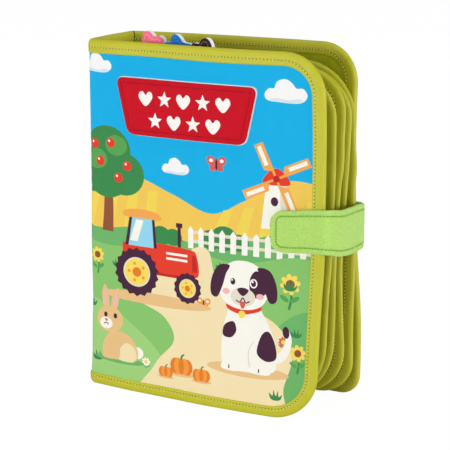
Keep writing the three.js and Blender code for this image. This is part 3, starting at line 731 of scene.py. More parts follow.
def tractorAt(a, z, s):
    parts = [
        ("pathShade", "oval", (4, -1), 52, 5),
        ("redDark", "flat", slabOf(-16, 20, 40, 26)),
        ("plum", "flat", slabOf(25, 44, 28, 64)),
        ("plum", "flat", slabOf(23.6, 62, 29.4, 65.6)),
        ("red", "blob", [(4, 24), (4, 44), (10, 46.5), (36, 45), (42.5, 41), (44, 24), (30, 23)], 4),
        ("redDark", "flat", [(38.5, 27), (43, 27), (42, 40), (38.5, 41)]),
        ("cream", "flat", slabOf(14, 38.6, 34, 40.6)),
        ("cream", "flat", slabOf(14, 34.4, 34, 36.4)),
        ("red", "flat", slabOf(-27, 26, 8, 44)),
        ("glass", "flat", [(-22, 42), (4, 42), (2, 66), (-18, 66)]),
        ("cream", "flat", [(-20, 46), (-13, 46), (-7, 64), (-14, 64)]),
        ("plum", "flat", [(-24.4, 42), (-21.4, 42), (-17.4, 67), (-20, 67)]),
        ("plum", "flat", [(2.2, 42), (5, 42), (3.2, 67), (0.8, 67)]),
        ("roof", "blob", [(-25, 66), (-24, 71), (-8, 73), (6, 71), (9, 66), (-8, 65.4)], 4),
    ]
    for u, v, r, lugs in ((-14, 20, 20, 18), (34, 13, 12.6, 14)):
        parts.append(("plum", "flat", rays(u, v, r * 0.93, r * 1.03, lugs)))
        for paint, share in (("creamShade", 0.62), ("sun", 0.55), ("orangeDark", 0.2)):
            parts.append((paint, "oval", (u, v), r * share, r * share))
        for t in (0.6, 1.86, 3.1, 4.4, 5.65):
            spot = (u + r * 0.36 * math.cos(t), v + r * 0.36 * math.sin(t))
            parts.append(("orange", "oval", spot, r * 0.07, r * 0.07, 0, 10))
    return drawn(a, z, s, parts)


def puppyAt(a, z, s):
    parts = [
        ("pathShade", "oval", (2, 1), 30, 4.6),
        ("cream", "stroke", [(18, 10), (27, 14), (31, 24), (29, 32)], 7, 3.4),
        ("plum", "oval", (29, 30), 2.4, 4, 8, 14),
        ("cream", "blob", [
            (-15, 2), (-17, 16), (-14, 34), (-8, 46), (6, 48), (14, 38), (21, 24), (23, 10), (20, 2), (0, 0),
        ], 6),
        ("plum", "blob", [(9, 14), (12, 26), (17, 29), (21.4, 22), (22.8, 12), (16, 9)]),
        ("plum", "blob", [(-14.6, 30), (-8, 33), (-6, 27), (-10, 22), (-15.8, 23)]),
        ("creamShade", "stroke", [(4, 3), (3, 14), (7, 22)], 1.1, 0.5),
        ("cream", "blob", [(-16, 0), (-17, 4), (-12, 6.4), (-5, 5), (-4, 0)], 4),
        ("cream", "blob", [(5, 0), (4, 4), (9, 6.6), (17, 5), (18, 0)], 4),
        ("plum", "stroke", [(-11.6, 0.8), (-11.4, 3.4)], 0.8),
        ("plum", "stroke", [(10.4, 0.8), (10.6, 3.4)], 0.8),
        ("red", "blob", [(-12, 41), (-2, 38.4), (10, 41.6), (10.6, 45), (-2, 42.4), (-12.4, 45)]),
        ("sun", "oval", (-2, 38.4), 2.6, 2.6, 0, 16),
        ("cream", "blob", [
            (-19, 55), (-16, 66), (-8, 73), (4, 73), (13, 66), (16, 55), (11, 45), (-1, 41.6), (-14, 45),
        ], 6),
        ("plum", "blob", [(4, 52), (3, 62), (7, 68), (13, 64), (15, 56), (10, 50.5)]),
        ("plum", "blob", [(-11, 70), (-19, 69), (-24, 60), (-24.6, 50), (-20, 48), (-16, 56), (-13.6, 64)]),
        ("plum", "blob", [(8, 70), (16, 69), (21, 60), (21.6, 50), (17, 48), (13, 56), (10.6, 64)]),
        ("creamShade", "oval", (-1.6, 50), 8.6, 6.2),
        ("plum", "blob", [(-5.6, 54.6), (-1.6, 56.2), (2.4, 54.6), (-1.6, 50.6)], 4),
        ("plum", "stroke", [(-6.2, 47.6), (-3.6, 46.4), (-1.6, 49.4), (0.6, 46.4), (3.2, 47.6)], 0.8),
        ("coral", "blob", [(-3.4, 46.6), (0.2, 46.6), (-0.4, 43.2), (-1.6, 42.2), (-2.8, 43.2)], 4),
    ]
    for u in (-8.6, 5.6):
        parts += [
            ("cream", "oval", (u, 59.6), 2.6, 3.1, 0, 16),
            ("plum", "oval", (u, 59.6), 1.7, 2.2, 0, 16),
            ("cream", "oval", (u - 0.6, 60.6), 0.6, 0.7, 0, 10),
        ]
    parts += [("blush", "oval", spot, 2.6, 1.9, 0, 16) for spot in ((-13.4, 52.6), (10.2, 51.4))]
    return drawn(a, z, s, parts)


def rabbitAt(a, z, s):
    return drawn(a, z, s, [
        ("meadowDark", "oval", (2, 0.4), 20, 3),
        ("cream", "oval", (17, 8), 4.4, 4.4),
        ("pathShade", "blob", [(-10, 1), (-12, 9), (-7, 19), (3, 22), (12, 18), (17, 9), (15, 1), (2, 0)], 6),
        ("path", "blob", [(4, 2), (3, 9), (8, 14), (14, 11), (16, 4), (12, 1)]),
        ("pathShade", "blob", [(-11, 38), (-13, 48), (-10.4, 56), (-7.4, 49), (-6.4, 38)]),
        ("blush", "blob", [(-10.2, 40), (-11.2, 48), (-10.2, 52.4), (-8.8, 47.6), (-7.8, 40)], 4),
        ("pathShade", "blob", [(-5, 38), (-4, 48), (1, 54.6), (1.6, 47), (-0.6, 38)]),
        ("blush", "blob", [(-3.4, 40), (-2.8, 47), (0, 51), (0.2, 46), (-1.6, 40)], 4),
        ("pathShade", "oval", (-6, 30), 11, 10),
        ("cream", "oval", (-9, 26.6), 5.4, 4.4),
        ("plum", "oval", (-9.6, 33), 1.5, 2, 0, 14),
        ("plum", "oval", (-1.4, 33), 1.5, 2, 0, 14),
        ("coral", "blob", [(-10.4, 29.6), (-7.6, 29.6), (-9, 27.6)], 3),
        ("plum", "stroke", [(-11, 25.6), (-9, 26.8), (-7, 25.6)], 0.7),
        ("pathShade", "blob", [(-11, 0), (-12, 3.4), (-7, 5), (-2, 3.6), (-2, 0)], 4),
        ("path", "blob", [(3, 0), (2.6, 3.2), (8, 4.8), (13, 3.2), (13, 0)], 4),
    ])


# Back cover, spine and front cover share one landscape: each item is where it stands and its scale
landscape = {
    "clouds": [
        (-206, 214, 1.3), (-150, 192, 0.9), (-92, 220, 1.15), (-34, 206, 0.9), (9, 232, 0.8),
        (153, 222, 0.95), (72, 166, 0.7),
    ],
    "fieldCrest": [
        (-260, 150), (-222, 158), (-176, 140), (-130, 156), (-84, 164), (-40, 146), (4, 148), (36, 158),
        (70, 148), (100, 138), (126, 150), (158, 166), (200, 158),
    ],
    "sun": (-176, 176),
    "furrowFoot": 96,
    # (foot, crest, number of stripes)
    "furrows": [
        ((-60, 60), [(-44, 145.6), (64, 149)], 7), ((90, 210), [(108, 141), (196, 158)], 6),
        ((-250, -150), [(-246, 152), (-176, 140)], 5), ((-140, -60), [(-132, 154), (-60, 154)], 5),
    ],
    "woodCrest": [
        (-260, 128), (-214, 136), (-160, 120), (-112, 132), (-66, 122), (-30, 128), (6, 118), (46, 122),
        (88, 116), (130, 124), (164, 132), (200, 128),
    ],
    "bushes": [
        (-236, 126, 9), (-226, 128, 11), (-214, 126, 8), (-120, 124, 8), (-110, 126, 10), (-58, 122, 9),
        (-48, 122, 7), (100, 120, 8), (110, 122, 10), (121, 120, 7), (60, 118, 8), (70, 118, 7),
    ],
    "trees": [
        (17, 116, 1.5, ((-12, 26), (-4, 33), (6, 26), (11, 32), (2, 42), (-7, 41))),
        (-196, 112, 1.5, ((-10, 27), (-2, 34), (7, 27), (1, 42))), (-30, 112, 1.0), (-92, 116, 1.15),
    ],
    "fences": [(-168, -104, 112), (84, 172, 112)],
    "windmill": (147, 132, 1.18),
    "tractor": (52, 72, 0.86),
    "puppy": (126, 30, 1.06),
    "rabbit": (24, 22, 0.98),
    "meadowCrest": [
        (-260, 112), (-210, 118), (-160, 108), (-110, 116), (-60, 108), (-20, 112), (20, 106), (70, 112),
        (120, 106), (160, 114), (200, 110),
    ],
    "nearCrest": [
        (-260, 58), (-214, 70), (-164, 60), (-120, 70), (-70, 62), (-30, 70), (10, 64), (34, 52), (60, 30),
        (70, 4),
    ],
    "cornerCrest": [(200, 74), (172, 78), (150, 64), (142, 40), (150, 4)],
    "path": [
        (86, 112), (70, 96), (44, 84), (40, 70), (62, 60), (70, 44), (54, 24), (44, -8), (150, -8), (156, 22),
        (162, 46), (150, 66), (120, 80), (104, 94), (98, 112),
    ],
    "pond": [(-232, 30), (-214, 44), (-186, 46), (-164, 36), (-168, 22), (-192, 16), (-220, 18)],
    "pondShine": [(-218, 32), (-204, 38), (-188, 38), (-180, 32), (-194, 30)],
    "sunflowers": [
        (-152, 58, 1.2), (-140, 52, 1.0), (-84, 66, 1.2), (-56, 40, 1.0), (-24, 70, 1.1), (8, 84, 0.85),
        (158, 78, 1.1), (166, 34, 0.9), (-236, 70, 1.2),
    ],
    "blossoms": [
        (-128, 40, 0.7, "coral"), (-120, 34, 0.6, "coral"), (-100, 30, 0.6, "cream"), (-40, 34, 0.6, "coral"),
        (-12, 22, 0.6, "cream"), (155, 50, 0.55, "coral"), (47, 20, 0.5, "cream"),
    ],
    "tufts": [
        (-240, 84, 0.9), (-180, 76, 1.0), (-128, 84, 0.9), (-68, 86, 0.9), (-20, 50, 0.9), (2, 60, 0.8),
        (8, 20, 0.8), (158, 92, 0.8), (164, 60, 0.7), (150, 14, 0.8), (108, 100, 0.7), (24, 92, 0.6),
        (-210, 8, 1.0), (-150, 14, 0.9), (-70, 16, 0.9),
    ],
    "butterflies": [
        (104, 172, 1.4, "coral"), (-118, 92, 1.5, "orange"), (94, 74, 1.1, "orange"),
        (-50, 176, 1.3, "coral"),
    ],
    "pumpkins": [(76, 26, 0.95), (92, 22, 0.72), (63, 20, 0.6)],
}


def scenery():
    s = landscape
    shapes = []

    def add(draw, items, *more):
        for item in items:
            shapes.extend(draw(*item, *more))

    add(cloudAt, s["clouds"])
    shapes.extend([("sun", rays(*s["sun"], 13, 18, 16)), ("fieldLight", oval(*s["sun"], 11.6, 11.6))])
    shapes.extend(hillOf("field", s["fieldCrest"]))
    add(furrows, s["furrows"], s["furrowFoot"])
    shapes.extend(hillOf("meadowDark", s["woodCrest"]))
    shapes.extend(("bush", oval(a, z, r, r * 0.85)) for a, z, r in s["bushes"])
    shapes.extend(windmillAt(*s["windmill"]))
    add(treeAt, s["trees"])
    add(fenceFrom, s["fences"])
    shapes.extend(hillOf("meadow", s["meadowCrest"]) + hillOf("meadowLight", s["nearCrest"]))
    shapes.extend(hillOf("meadowDark", s["cornerCrest"]))
    shapes.extend([("path", blob(s["path"], 7)), ("pond", blob(s["pond"])), ("haze", blob(s["pondShine"]))])
    add(flowerAt, s["sunflowers"])
    add(flowerAt, s["blossoms"], "sun", 9)
    add(tuftAt, s["tufts"])
    add(butterflyAt, s["butterflies"])
    shapes.extend(tractorAt(*s["tractor"]) + puppyAt(*s["puppy"]) + rabbitAt(*s["rabbit"]))
    add(pumpkinAt, s["pumpkins"])
    return shapes


# A flat cloth cut to an outline and divided by the shapes on it, later shapes on top
def paintedSheet(outline, shapes, extra=()):
    points, faces = [], []
    for ring in [outline] + [ring for paint, ring in shapes]:
        turns = sum(p[0] * q[1] - q[0] * p[1] for p, q in zip(ring, list(ring[1:]) + [ring[0]]))
        ring = ring if turns > 0 else ring[::-1]
        faces.append(list(range(len(points), len(points) + len(ring))))
        points.extend(Vector(p) for p in ring)
    points.extend(Vector(p) for p in extra)
    flat, _, triangles, _, _, fromFaces = delaunay_2d_cdt(points, [], faces, 0, 1e-4)
    names = ["ground"] + [paint for paint, ring in shapes]
    kept = [(t, names[max(f)]) for t, f in zip(triangles, fromFaces) if 0 in f]
    used = sorted({i for t, paint in kept for i in t})
    new = {before: i for i, before in enumerate(used)}
    faces = [[new[i] for i in t] for t, paint in kept]
    return np.array([flat[i] for i in used]), faces, [paint for t, paint in kept]


def clipTo(shapes, left, right):
    return [
        (paint, ring) for paint, ring in shapes
        if max(p[0] for p in ring) > left and min(p[0] for p in ring) < right
    ]


def printPiece(name, outline, shapes, ground, grid, place, depth):
    flat, triangles, paints = paintedSheet(outline, shapes, grid)
    names = sorted(set(paints) | {"ground"})
    finishes = [printFinish[ground if n == "ground" else n] for n in names]
    points = place(np.column_stack([flat, np.full(len(flat), depth)]))
    return meshPiece(name, points, triangles, finishes, [names.index(p) for p in paints], closed=False)


def distanceInside(points, ring):
    ring = np.asarray(ring, float)
    best = np.full(len(points), 1e9)
    for p, q in zip(ring, np.roll(ring, -1, axis=0)):
        edge = q - p
        share = np.clip((points - p) @ edge / max(edge @ edge, 1e-12), 0, 1)
        best = np.minimum(best, np.linalg.norm(points - p - share[:, None] * edge, axis=1))
    return best


def inset(ring, by):
    path = edgePath(ring, 1.0, True)
    area = np.sum(path[:, 0] * np.roll(path[:, 1], -1) - np.roll(path[:, 0], -1) * path[:, 1])
    return path[:, :2] + path[:, 2:] * by * (-1 if area > 0 else 1)


def spotGrid(columns, rows):
    return np.array([(a, z) for a in columns for z in rows])


# A stuffed shape: its face rises from the rim, dips along its seam and is closed by a flat back
def puffPiece(name, outline, shapes, place, back, face, finishes, seam=None, step=1.3, dome=0.0):
    ring = [tuple(p) for p in evenly(outline, min(step, 1.2), True)]
    low, high = np.min(ring, axis=0), np.max(ring, axis=0)
    grid = spotGrid(np.arange(low[0], high[0], step), np.arange(low[1], high[1], step))
    depth = distanceInside(grid, ring)
    keep = depth > 2.3
    lanes = [0.25, 0.7, 1.4]
    if seam and seam > 2.5:
        keep &= np.abs(depth - seam) > 1.2
        lanes += [seam - 0.6, seam, seam + 0.6]
    extra = [tuple(p) for p in grid[keep]] + [tuple(p) for by in lanes for p in inset(ring, by)]
    flat, triangles, paints = paintedSheet(ring, shapes, extra)
    gap = distanceInside(flat, ring)
    rise = np.sqrt(np.clip(1 - (1 - np.clip(gap / 1.3, 0, 1)) ** 2, 0, 1))
    wave = 0.08 * np.sin(flat[:, 0] / 1.9 + 1) * np.sin(flat[:, 1] / 2.3)
    height = face * (0.25 + 0.75 * rise) + wave * rise
    if seam:
        height += dome * (1 - np.exp(-np.maximum(gap - seam, 0) / 3))
        height -= 0.5 * np.exp(-((gap - seam) / 0.55) ** 2)
    top = np.column_stack([flat, back - height])
    under = np.column_stack([flat, np.full(len(flat), back)])
    faces = closedFaces(triangles, len(flat))
    names = sorted(set(paints))
    marks = [names.index(p) for p in paints] * 2
    marks += [names.index("ground")] * (len(faces) - len(marks))
    return meshPiece(name, place(np.concatenate([top, under])), faces, [finishes[n] for n in names], marks)


print("finishes and shapes ready")

# Jacket: print, lining, tape and stitches of each half, bending at its own fold
jacketShapes = scenery()


def liningDepth(along, fold):
    press, reach = jacket["foldPress"]
    return jacket["liningDepth"] - press * np.exp(-((along - fold) / reach) ** 2)


def foldShadeLine(side, at):
    # a dark strip of painted shade, laid where the tape and the lining bend sharply inside a fold
    s = jacket
    half = s["thick"] / 2
    top, bottom = (tapeProfile(s["tapeWidth"][k], half, s["seam"][k]) for k in (0, 2))
    rows = [(s["height"] - inwards, half + d) for inwards, d in top]
    rows += [(z, float(liningDepth(at, at))) for z in np.linspace(*s["shadeLineHeights"])]
    rows += [(inwards, half + d) for inwards, d in bottom[::-1]]
    section = ((-1, 0.06), (-0.5, 0.16), (0, 0.2), (0.5, 0.16), (1, 0.06))
    widest, ratio = s["shadeLineReach"]
    points, faces = [], []
    for k, (z, depth) in enumerate(rows):
        reach = min(widest, ratio * s["foldRadius"] / (s["foldRadius"] - depth))
        points += [(at + share * reach, z, depth + rise) for share, rise in section]
        if k:
            faces += [[5 * k - 5 + j, 5 * k - 4 + j, 5 * k + 1 + j, 5 * k + j] for j in range(4)]
    return meshPiece(side + "_fold_shade_line", onJacket(points), faces, [finish["crease"]], closed=False)


def halfJacket(side):
    s = jacket
    front = side == "front"
    end, sign = (frontEnd, 1) if front else (backEnd, -1)
    foldY, faceY = (s["foldRadius"], 0) if front else (s["depth"] - s["foldRadius"], s["depth"])
    start = spineMiddle
    length = abs(end - start)

    def place(points):
        return onJacket(np.stack([start + sign * points[:, 0], points[:, 1], points[:, 2]], 1))

    def rimAt(by):
        radii = s["topRadius"] - by, s["bottomRadius"][side] - by
        return rimPoints(0, length - by, by, s["height"] - by, *radii)

    ring = evenly([(start + sign * u, z) for u, z in rimAt(s["sheetInset"])], 1.6, True)
    ring = [tuple(p) for p in ring]
    turning = np.abs(np.abs(planOut[:, 0]) - np.abs(planOut[:, 1])) + 9 * ((planAlong - start) * sign < 0)
    fold = float(planAlong[np.argmin(turning)])
    left, right = min(start, end), max(start, end)
    wide, high = s["grid"]
    before, after = s["foldSpan"]
    columns = np.arange(left, right, wide), np.arange(fold - before, fold + after, s["foldGrid"])
    sheetTop = s["height"] - s["sheetInset"]
    grid = spotGrid(np.unique(np.concatenate(columns)), np.arange(high, sheetTop, high))
    shapes = clipTo(jacketShapes, left, right)
    sheet = printPiece(side + "_print", ring, shapes, "sky", grid, onJacket, s["printDepth"])
    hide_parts(side + "_cover_print", "spine_print")
    flat, triangles, _ = paintedSheet(ring, [], grid)
    points = onJacket(np.column_stack([flat, liningDepth(flat[:, 0], fold)]))
    lining = meshPiece(side + "_lining", points, [t[::-1] for t in triangles], [finish["felt"]], closed=False)
    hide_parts(side + "_cover_lining", side + "_cover_foam", "spine_lining", "spine_foam")
    path = edgePath(rimAt(0), 1.2)
    half = s["thick"] / 2
    tape = tapePiece(side + "_tape", path, place, half, half, s["tapeWidth"], s["seam"])
    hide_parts(side + "_cover_binding", "spine_binding_top", "spine_binding_bottom")
    seam = byRun(path, s["seam"])
    rows = [(path, place, seam, -0.1, 1), (path, place, seam, s["thick"] + 0.08, -1)]
    stitches = stitchPiece(side + "_tape_stitches", rows, [finish["tapeThread"], finish["needleHoleShade"]])
    # the fold's strip of painted shade
    crease = foldShadeLine(side, fold)
    middle = s["height"] / 2
    for piece, slotName in (
        (sheet, "printed_cloth"), (lining, "felt_lining"), (tape, "edge_binding"), (stitches, "edge_binding"),
        (crease, "edge_binding"),
    ):
        bendBetween(piece, "spine", side + "_cover", (0, foldY, middle), (s["foldRadius"], faceY, middle))
    wide, high = length - s["sheetInset"], s["height"] - 2 * s["sheetInset"]


for side in ("front", "back"):
    halfJacket(side)
print("jacket made")


# Leaves
def pillowHalf(u, z):
    s = leaves
    start, length = s["rootReach"]
    root = ease((u - start) / length)
    sewn, taped = s["crownStart"]
    crown = 1
    for inwards in (u - sewn, s["width"] - taped - u, z - taped, s["height"] - taped - z):
        crown = crown * ease(inwards / s["crownReach"])
    return s["rootHalf"] + (s["rimHalf"] - s["rootHalf"]) * root + (s["crownHalf"] - s["rimHalf"]) * crown


def pillowMesh():
    # one stuffed page pair in flat leaf coordinates, blown up by cloth simulation between its taped edges
    s = leaves
    edge, step = s["pageInset"], s["pageGrid"]
    radius = s["pageRadius"] - edge
    right, top = s["width"] - edge, s["height"] - edge
    ring = [(0.5, top)] + cornerArc((right - radius, top - radius), radius, 90, 0, 9)
    ring += cornerArc((right - radius, edge + radius), radius, 0, -90, 9) + [(0.5, edge)]
    ring = [tuple(p) for p in evenly(ring, step, True)]
    grid = spotGrid(np.arange(step, s["width"], step), np.arange(step, s["height"], step))
    keep = distanceInside(grid, ring) > 2.6
    flat, triangles, _ = paintedSheet(ring[::-1], [], [tuple(p) for p in grid[keep]])
    half = pillowHalf(flat[:, 0], flat[:, 1])
    points = np.concatenate([np.stack([flat[:, 0], side * half, flat[:, 1]], 1) for side in (-1, 1)])
    faces = closedFaces(triangles, len(flat))
    points = blownUp(points, faces, distanceInside(flat, ring))
    return points, faces


def blownUp(points, faces, gap):
    mesh = bpy.data.meshes.new("pillow_trial")
    mesh.from_pydata([tuple(p) for p in points / 1000], [], faces)
    trial = bpy.data.objects.new("pillow_trial", mesh)
    bpy.context.scene.collection.objects.link(trial)
    pinned = trial.vertex_groups.new(name="taped")
    u = points[:, 0]
    fromRim, fromRoot = leaves["pinned"]
    held = [i for i in range(len(points)) if gap[i % len(gap)] < fromRim or u[i] < fromRoot]
    pinned.add(held, 1.0, "REPLACE")
    cloth = trial.modifiers.new("puff", "CLOTH")
    settings = {
        "quality": 6,
        "mass": 0.25,
        "tension_stiffness": 12,
        "compression_stiffness": 12,
        "bending_stiffness": 0.3,
        "use_pressure": True,
        "uniform_pressure_force": 4,
        "shrink_min": -0.035,
        "vertex_group_mass": "taped",
    }
    for name, value in settings.items():
        setattr(cloth.settings, name, value)
    cloth.settings.effector_weights.gravity = 0
    cloth.collision_settings.use_self_collision = False
    frames = 20
    cloth.point_cache.frame_start, cloth.point_cache.frame_end = 1, frames
    for step in range(1, frames + 1):
        bpy.context.scene.frame_set(step)
    seen = trial.evaluated_get(bpy.context.evaluated_depsgraph_get()).data
    moved = np.array([v.co for v in seen.vertices]) * 1000
    bpy.context.scene.frame_set(1)
    bpy.data.objects.remove(trial)
    # the puff is softened, and the drift along the page mostly held back
    shift = moved - points
    shift[:, [0, 2]] *= 0.35
    rise = np.clip(np.abs(moved[:, 1]) - np.abs(points[:, 1]), -0.8, 40)
    shift[:, 1] = np.sign(points[:, 1]) * leaves["puff"] * np.tanh(rise / leaves["puff"] * 0.5)
    return points + shift


def leafRoot(n, leafName):
    s = leaves
    middle = s["firstY"] + n * s["pitch"]
    plan = s["rootPlan"]
    left, right = plan[0][0], plan[3][0]
    rows = []
    for z in np.linspace(*s["rootHeights"]):
        lean = smoothRun(jacket["spineLean"], z)
        sway = 0.15 * math.sin(z / 9 + n)
        rows += [(x + lean * (right - x) / (right - left), middle + y + sway, z) for x, y in plan]
    faces = tubeFaces(len(rows) // len(plan), len(plan))
    root = meshPiece(leafName + "_root", rows, faces, [finish["root"]])
    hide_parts(leafName + "_tab")
    start, end, height = s["rootBend"]
    bendBetween(root, "spine", leafName, (start, middle, height), (end, middle, height))


def leafPiece(n):
    s = leaves
    leafName = f"leaf_{n + 1}"
    place = onLeaf(n)
    pages = meshPiece(leafName + "_pages", place(pillowPoints[:, [0, 2, 1]]), pillowFaces, [finish["page"]])
    rounder = pages.modifiers.new("smooth", "SUBSURF")
    rounder.levels = rounder.render_levels = 1
    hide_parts(leafName + "_front_page", leafName + "_back_page", leafName + "_batting")
    rim = rimPoints(s["tapeStart"], s["width"], 0, s["height"], s["topRadius"][n], s["bottomRadius"][n])
    path = edgePath(rim, 1.2)
    tape = tapePiece(leafName + "_tape", path, place, 0, s["tapeHalf"], s["tapeWidth"], s["seam"], 4.2, 0.2)
    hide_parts(leafName + "_binding")
    seam = byRun(path, s["seam"])
    depth = s["tapeHalf"] + 0.08
    rows = [(path, place, seam, -depth, 1), (path, place, seam, depth, -1)]
    stitches = stitchPiece(leafName + "_tape_stitches", rows, [finish["tapeThread"], finish["needleHoleShade"]])
    for piece, slotName in ((pages, "page_cloth"), (tape, "edge_binding"), (stitches, "edge_binding")):
        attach(piece, leafName)
    leafRoot(n, leafName)


pillowPoints, pillowFaces = pillowMesh()
for n in range(leaves["count"]):
    leafPiece(n)
print("leaves made")

# Title patch: raw-edged red cloth over a white core, stitched down near its edge
patch = {
    "middle": 80.5,
    "top": 226,
    "topWidth": 108,
    "bottomWidth": 90,
    "height": 39,
    "radius": 6,
    "seam": 3.4,
    # how far the white core shows round the cloth
    "coreEdge": 0.45,
    # depth of its back and the rise from there to its face, of the core and of the cloth over it
    "coreLay": (0.75, 1.9),
    "faceLay": (-1.0, 0.85),
    "dome": 0.5,
    "stitchDepth": -1.35,
    "markPitch": 15,
    "stitch": {"pitch": 2.2, "length": 1.3, "thick": 0.22, "wide": 0.3, "holeShadeRadius": 0.46},
}


def patchOutline(grow=0.0):
    s = patch
    low, high = s["top"] - s["height"] - grow, s["top"] + grow
    topHalf, bottomHalf = s["topWidth"] / 2 + grow, s["bottomWidth"] / 2 + grow
    corners = [
        np.array((s["middle"] + across, z))
        for across, z in ((-bottomHalf, low), (bottomHalf, low), (topHalf, high), (-topHalf, high))
    ]
    ring = []
    for i, corner in enumerate(corners):
        before, after = corners[i - 1] - corner, corners[(i + 1) % 4] - corner
        p = corner + before / np.linalg.norm(before) * s["radius"]
        q = corner + after / np.linalg.norm(after) * s["radius"]
        ring += [tuple((1 - t) ** 2 * p + 2 * t * (1 - t) * corner + t * t * q) for t in np.linspace(0, 1, 9)]
    return ring


def patchMarks():
    # a row of hearts and stars over a shorter row of stars and hearts
    heart = [(0, -5), (-5.4, 0.6), (-5, 4.4), (-2.4, 5.4), (0, 3), (2.4, 5.4), (5, 4.4), (5.4, 0.6)]
    marks = []
    for count, z, firstStar in ((5, 213, 1), (4, 198, 0)):
        for k in range(count):
            a = patch["middle"] + (k - (count - 1) / 2) * patch["markPitch"]
            if k % 2 == firstStar:
                marks.append(("mark", rays(a, z, 2.5, 5.8, 5)))
            else:
                marks += drawn(a, z - 0.6, 0.95, [("mark", "blob", heart, 4)])
    return marks


def titlePatch():
    s = patch
    finishes = {"ground": finish["red"], "mark": finish["whitePrint"]}
    under = patchOutline(s["coreEdge"])
    felt = {"ground": finish["white"]}
    core = puffPiece("title_patch_core", under, [], onJacket, *s["coreLay"], felt, step=4)
    face = puffPiece(
        "title_patch_face", patchOutline(), patchMarks(), onJacket, *s["faceLay"], finishes, s["seam"], 1.5,
        s["dome"],
    )
    row = (edgePath(patchOutline(), 1.0, True, -1), onJacket, s["seam"], s["stitchDepth"], 1)
    threads = [finish["redThread"], finish["redHoleShade"]]
    stitches = stitchPiece("title_patch_stitches", [row], threads, **s["stitch"])
    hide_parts("title_patch_padding")
    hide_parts("title_patch")
    for piece, slotName in ((core, "white_felt"), (face, "red_cloth"), (stitches, "red_cloth")):
        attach(piece, "front_cover")


titlePatch()
print("title patch made")

# Pocket and the three plush figures in it
pocket = {
    "left": 28, "right": 152, "bottom": 176, "top": 222, "front": 6.5, "thick": 0.8,
    # how far in from the sides and the bottom the felt stands off the page
    "sideReach": 13, "bottomReach": 6,
    "grid": (90, 36),
}
figures = {
    "width": 19.4,
    "height": 80,
    "firstX": 48,
    "pitch": 21,
    "faceY": 7.6,
    "faceThick": 1.2,
    "backThick": 4.4,
    "bottom": 177.1,
    "seam": 2.0,
    "dome": 0.35,
    "stitchDepth": 0.3,
    "bodyRight": [(0, 0), (0.3, 0.005), (0.45, 0.05), (0.49, 0.16), (0.49, 0.34), (0.4, 0.5), (0.3, 0.6)],
    "bodyLeft": [(-0.3, 0.6), (-0.4, 0.5), (-0.49, 0.34), (-0.49, 0.16), (-0.45, 0.05), (-0.3, 0.005)],
    "heads": {
        "pink": (1, [
            (0.4, 0.66), (0.49, 0.77), (0.49, 0.86), (0.5, 0.91), (0.47, 0.94), (0.4, 0.957), (0.3, 0.963),
            (0.22, 0.958), (0.15, 0.952), (0.09, 0.963), (0.02, 0.982), (-0.07, 0.996), (-0.16, 1),
            (-0.25, 0.99), (-0.31, 0.965), (-0.335, 0.93), (-0.36, 0.905), (-0.42, 0.9), (-0.5, 0.893),
            (-0.5, 0.86), (-0.48, 0.78), (-0.4, 0.66),
        ]),
        "blue": (0.987, [
            (0.38, 0.66), (0.46, 0.74), (0.44, 0.83), (0.48, 0.885), (0.54, 0.905), (0.5, 0.922),
            (0.36, 0.926), (0.22, 0.932), (0.15, 0.945), (0.1, 0.965), (0.02, 0.985), (-0.06, 0.996),
            (-0.13, 0.998), (-0.2, 0.99), (-0.25, 0.97), (-0.275, 0.945), (-0.3, 0.93), (-0.42, 0.928),
            (-0.54, 0.92), (-0.54, 0.9), (-0.48, 0.885), (-0.44, 0.83), (-0.46, 0.74), (-0.38, 0.66),
        ]),
        "black": (0.97, [
            (0.38, 0.66), (0.44, 0.76), (0.4, 0.86), (0.3, 0.9), (0.25, 0.925), (0.225, 0.945),
            (0.18, 0.968), (0.1, 0.99), (0, 0.998), (-0.1, 0.992), (-0.18, 0.975), (-0.23, 0.955),
            (-0.28, 0.943), (-0.36, 0.95), (-0.44, 0.947), (-0.5, 0.95), (-0.54, 0.935), (-0.54, 0.91),
            (-0.48, 0.88), (-0.43, 0.82), (-0.46, 0.74), (-0.38, 0.66),
        ]),
    },
    "stitch": {"pitch": 2.3, "length": 1.7, "thick": 0.26, "wide": 0.3},
}


def figurePiece(colour, order):
    s = figures
    share, head = s["heads"][colour]
    middle = s["firstX"] + order * s["pitch"]
    outline = s["bodyRight"] + head + s["bodyLeft"]
    ring = blob([(u * s["width"], v * s["height"] * share) for u, v in outline], 4)

    def place(points):
        return np.stack([middle + points[:, 0], s["faceY"] + points[:, 2], s["bottom"] + points[:, 1]], 1)

    thick, behind = s["faceThick"], s["backThick"]
    plush, felt = {"ground": finish[colour]}, {"ground": finish["white"]}
    face = puffPiece(colour + "_face", ring, [], place, thick, thick * 0.8, plush, s["seam"], 1.2, s["dome"])
    backing = puffPiece(colour + "_backing", ring, [], place, thick + behind, behind - 0.1, felt, step=1.6)
    row = (edgePath(ring, 1.0, True, -1), place, s["seam"], s["stitchDepth"], 1)
    stitches = stitchPiece(colour + "_stitches", [row], [finish[colour + "Thread"]], **s["stitch"])
    plushSlot = colour + "_plush"
    for piece, slotName in ((face, plushSlot), (backing, "white_felt"), (stitches, plushSlot)):
        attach(piece, colour + "_figure")
    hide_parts(colour + "_figure_face")
    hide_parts(colour + "_figure_backing")


for order, colour in enumerate(("pink", "blue", "black")):
    figurePiece(colour, order)


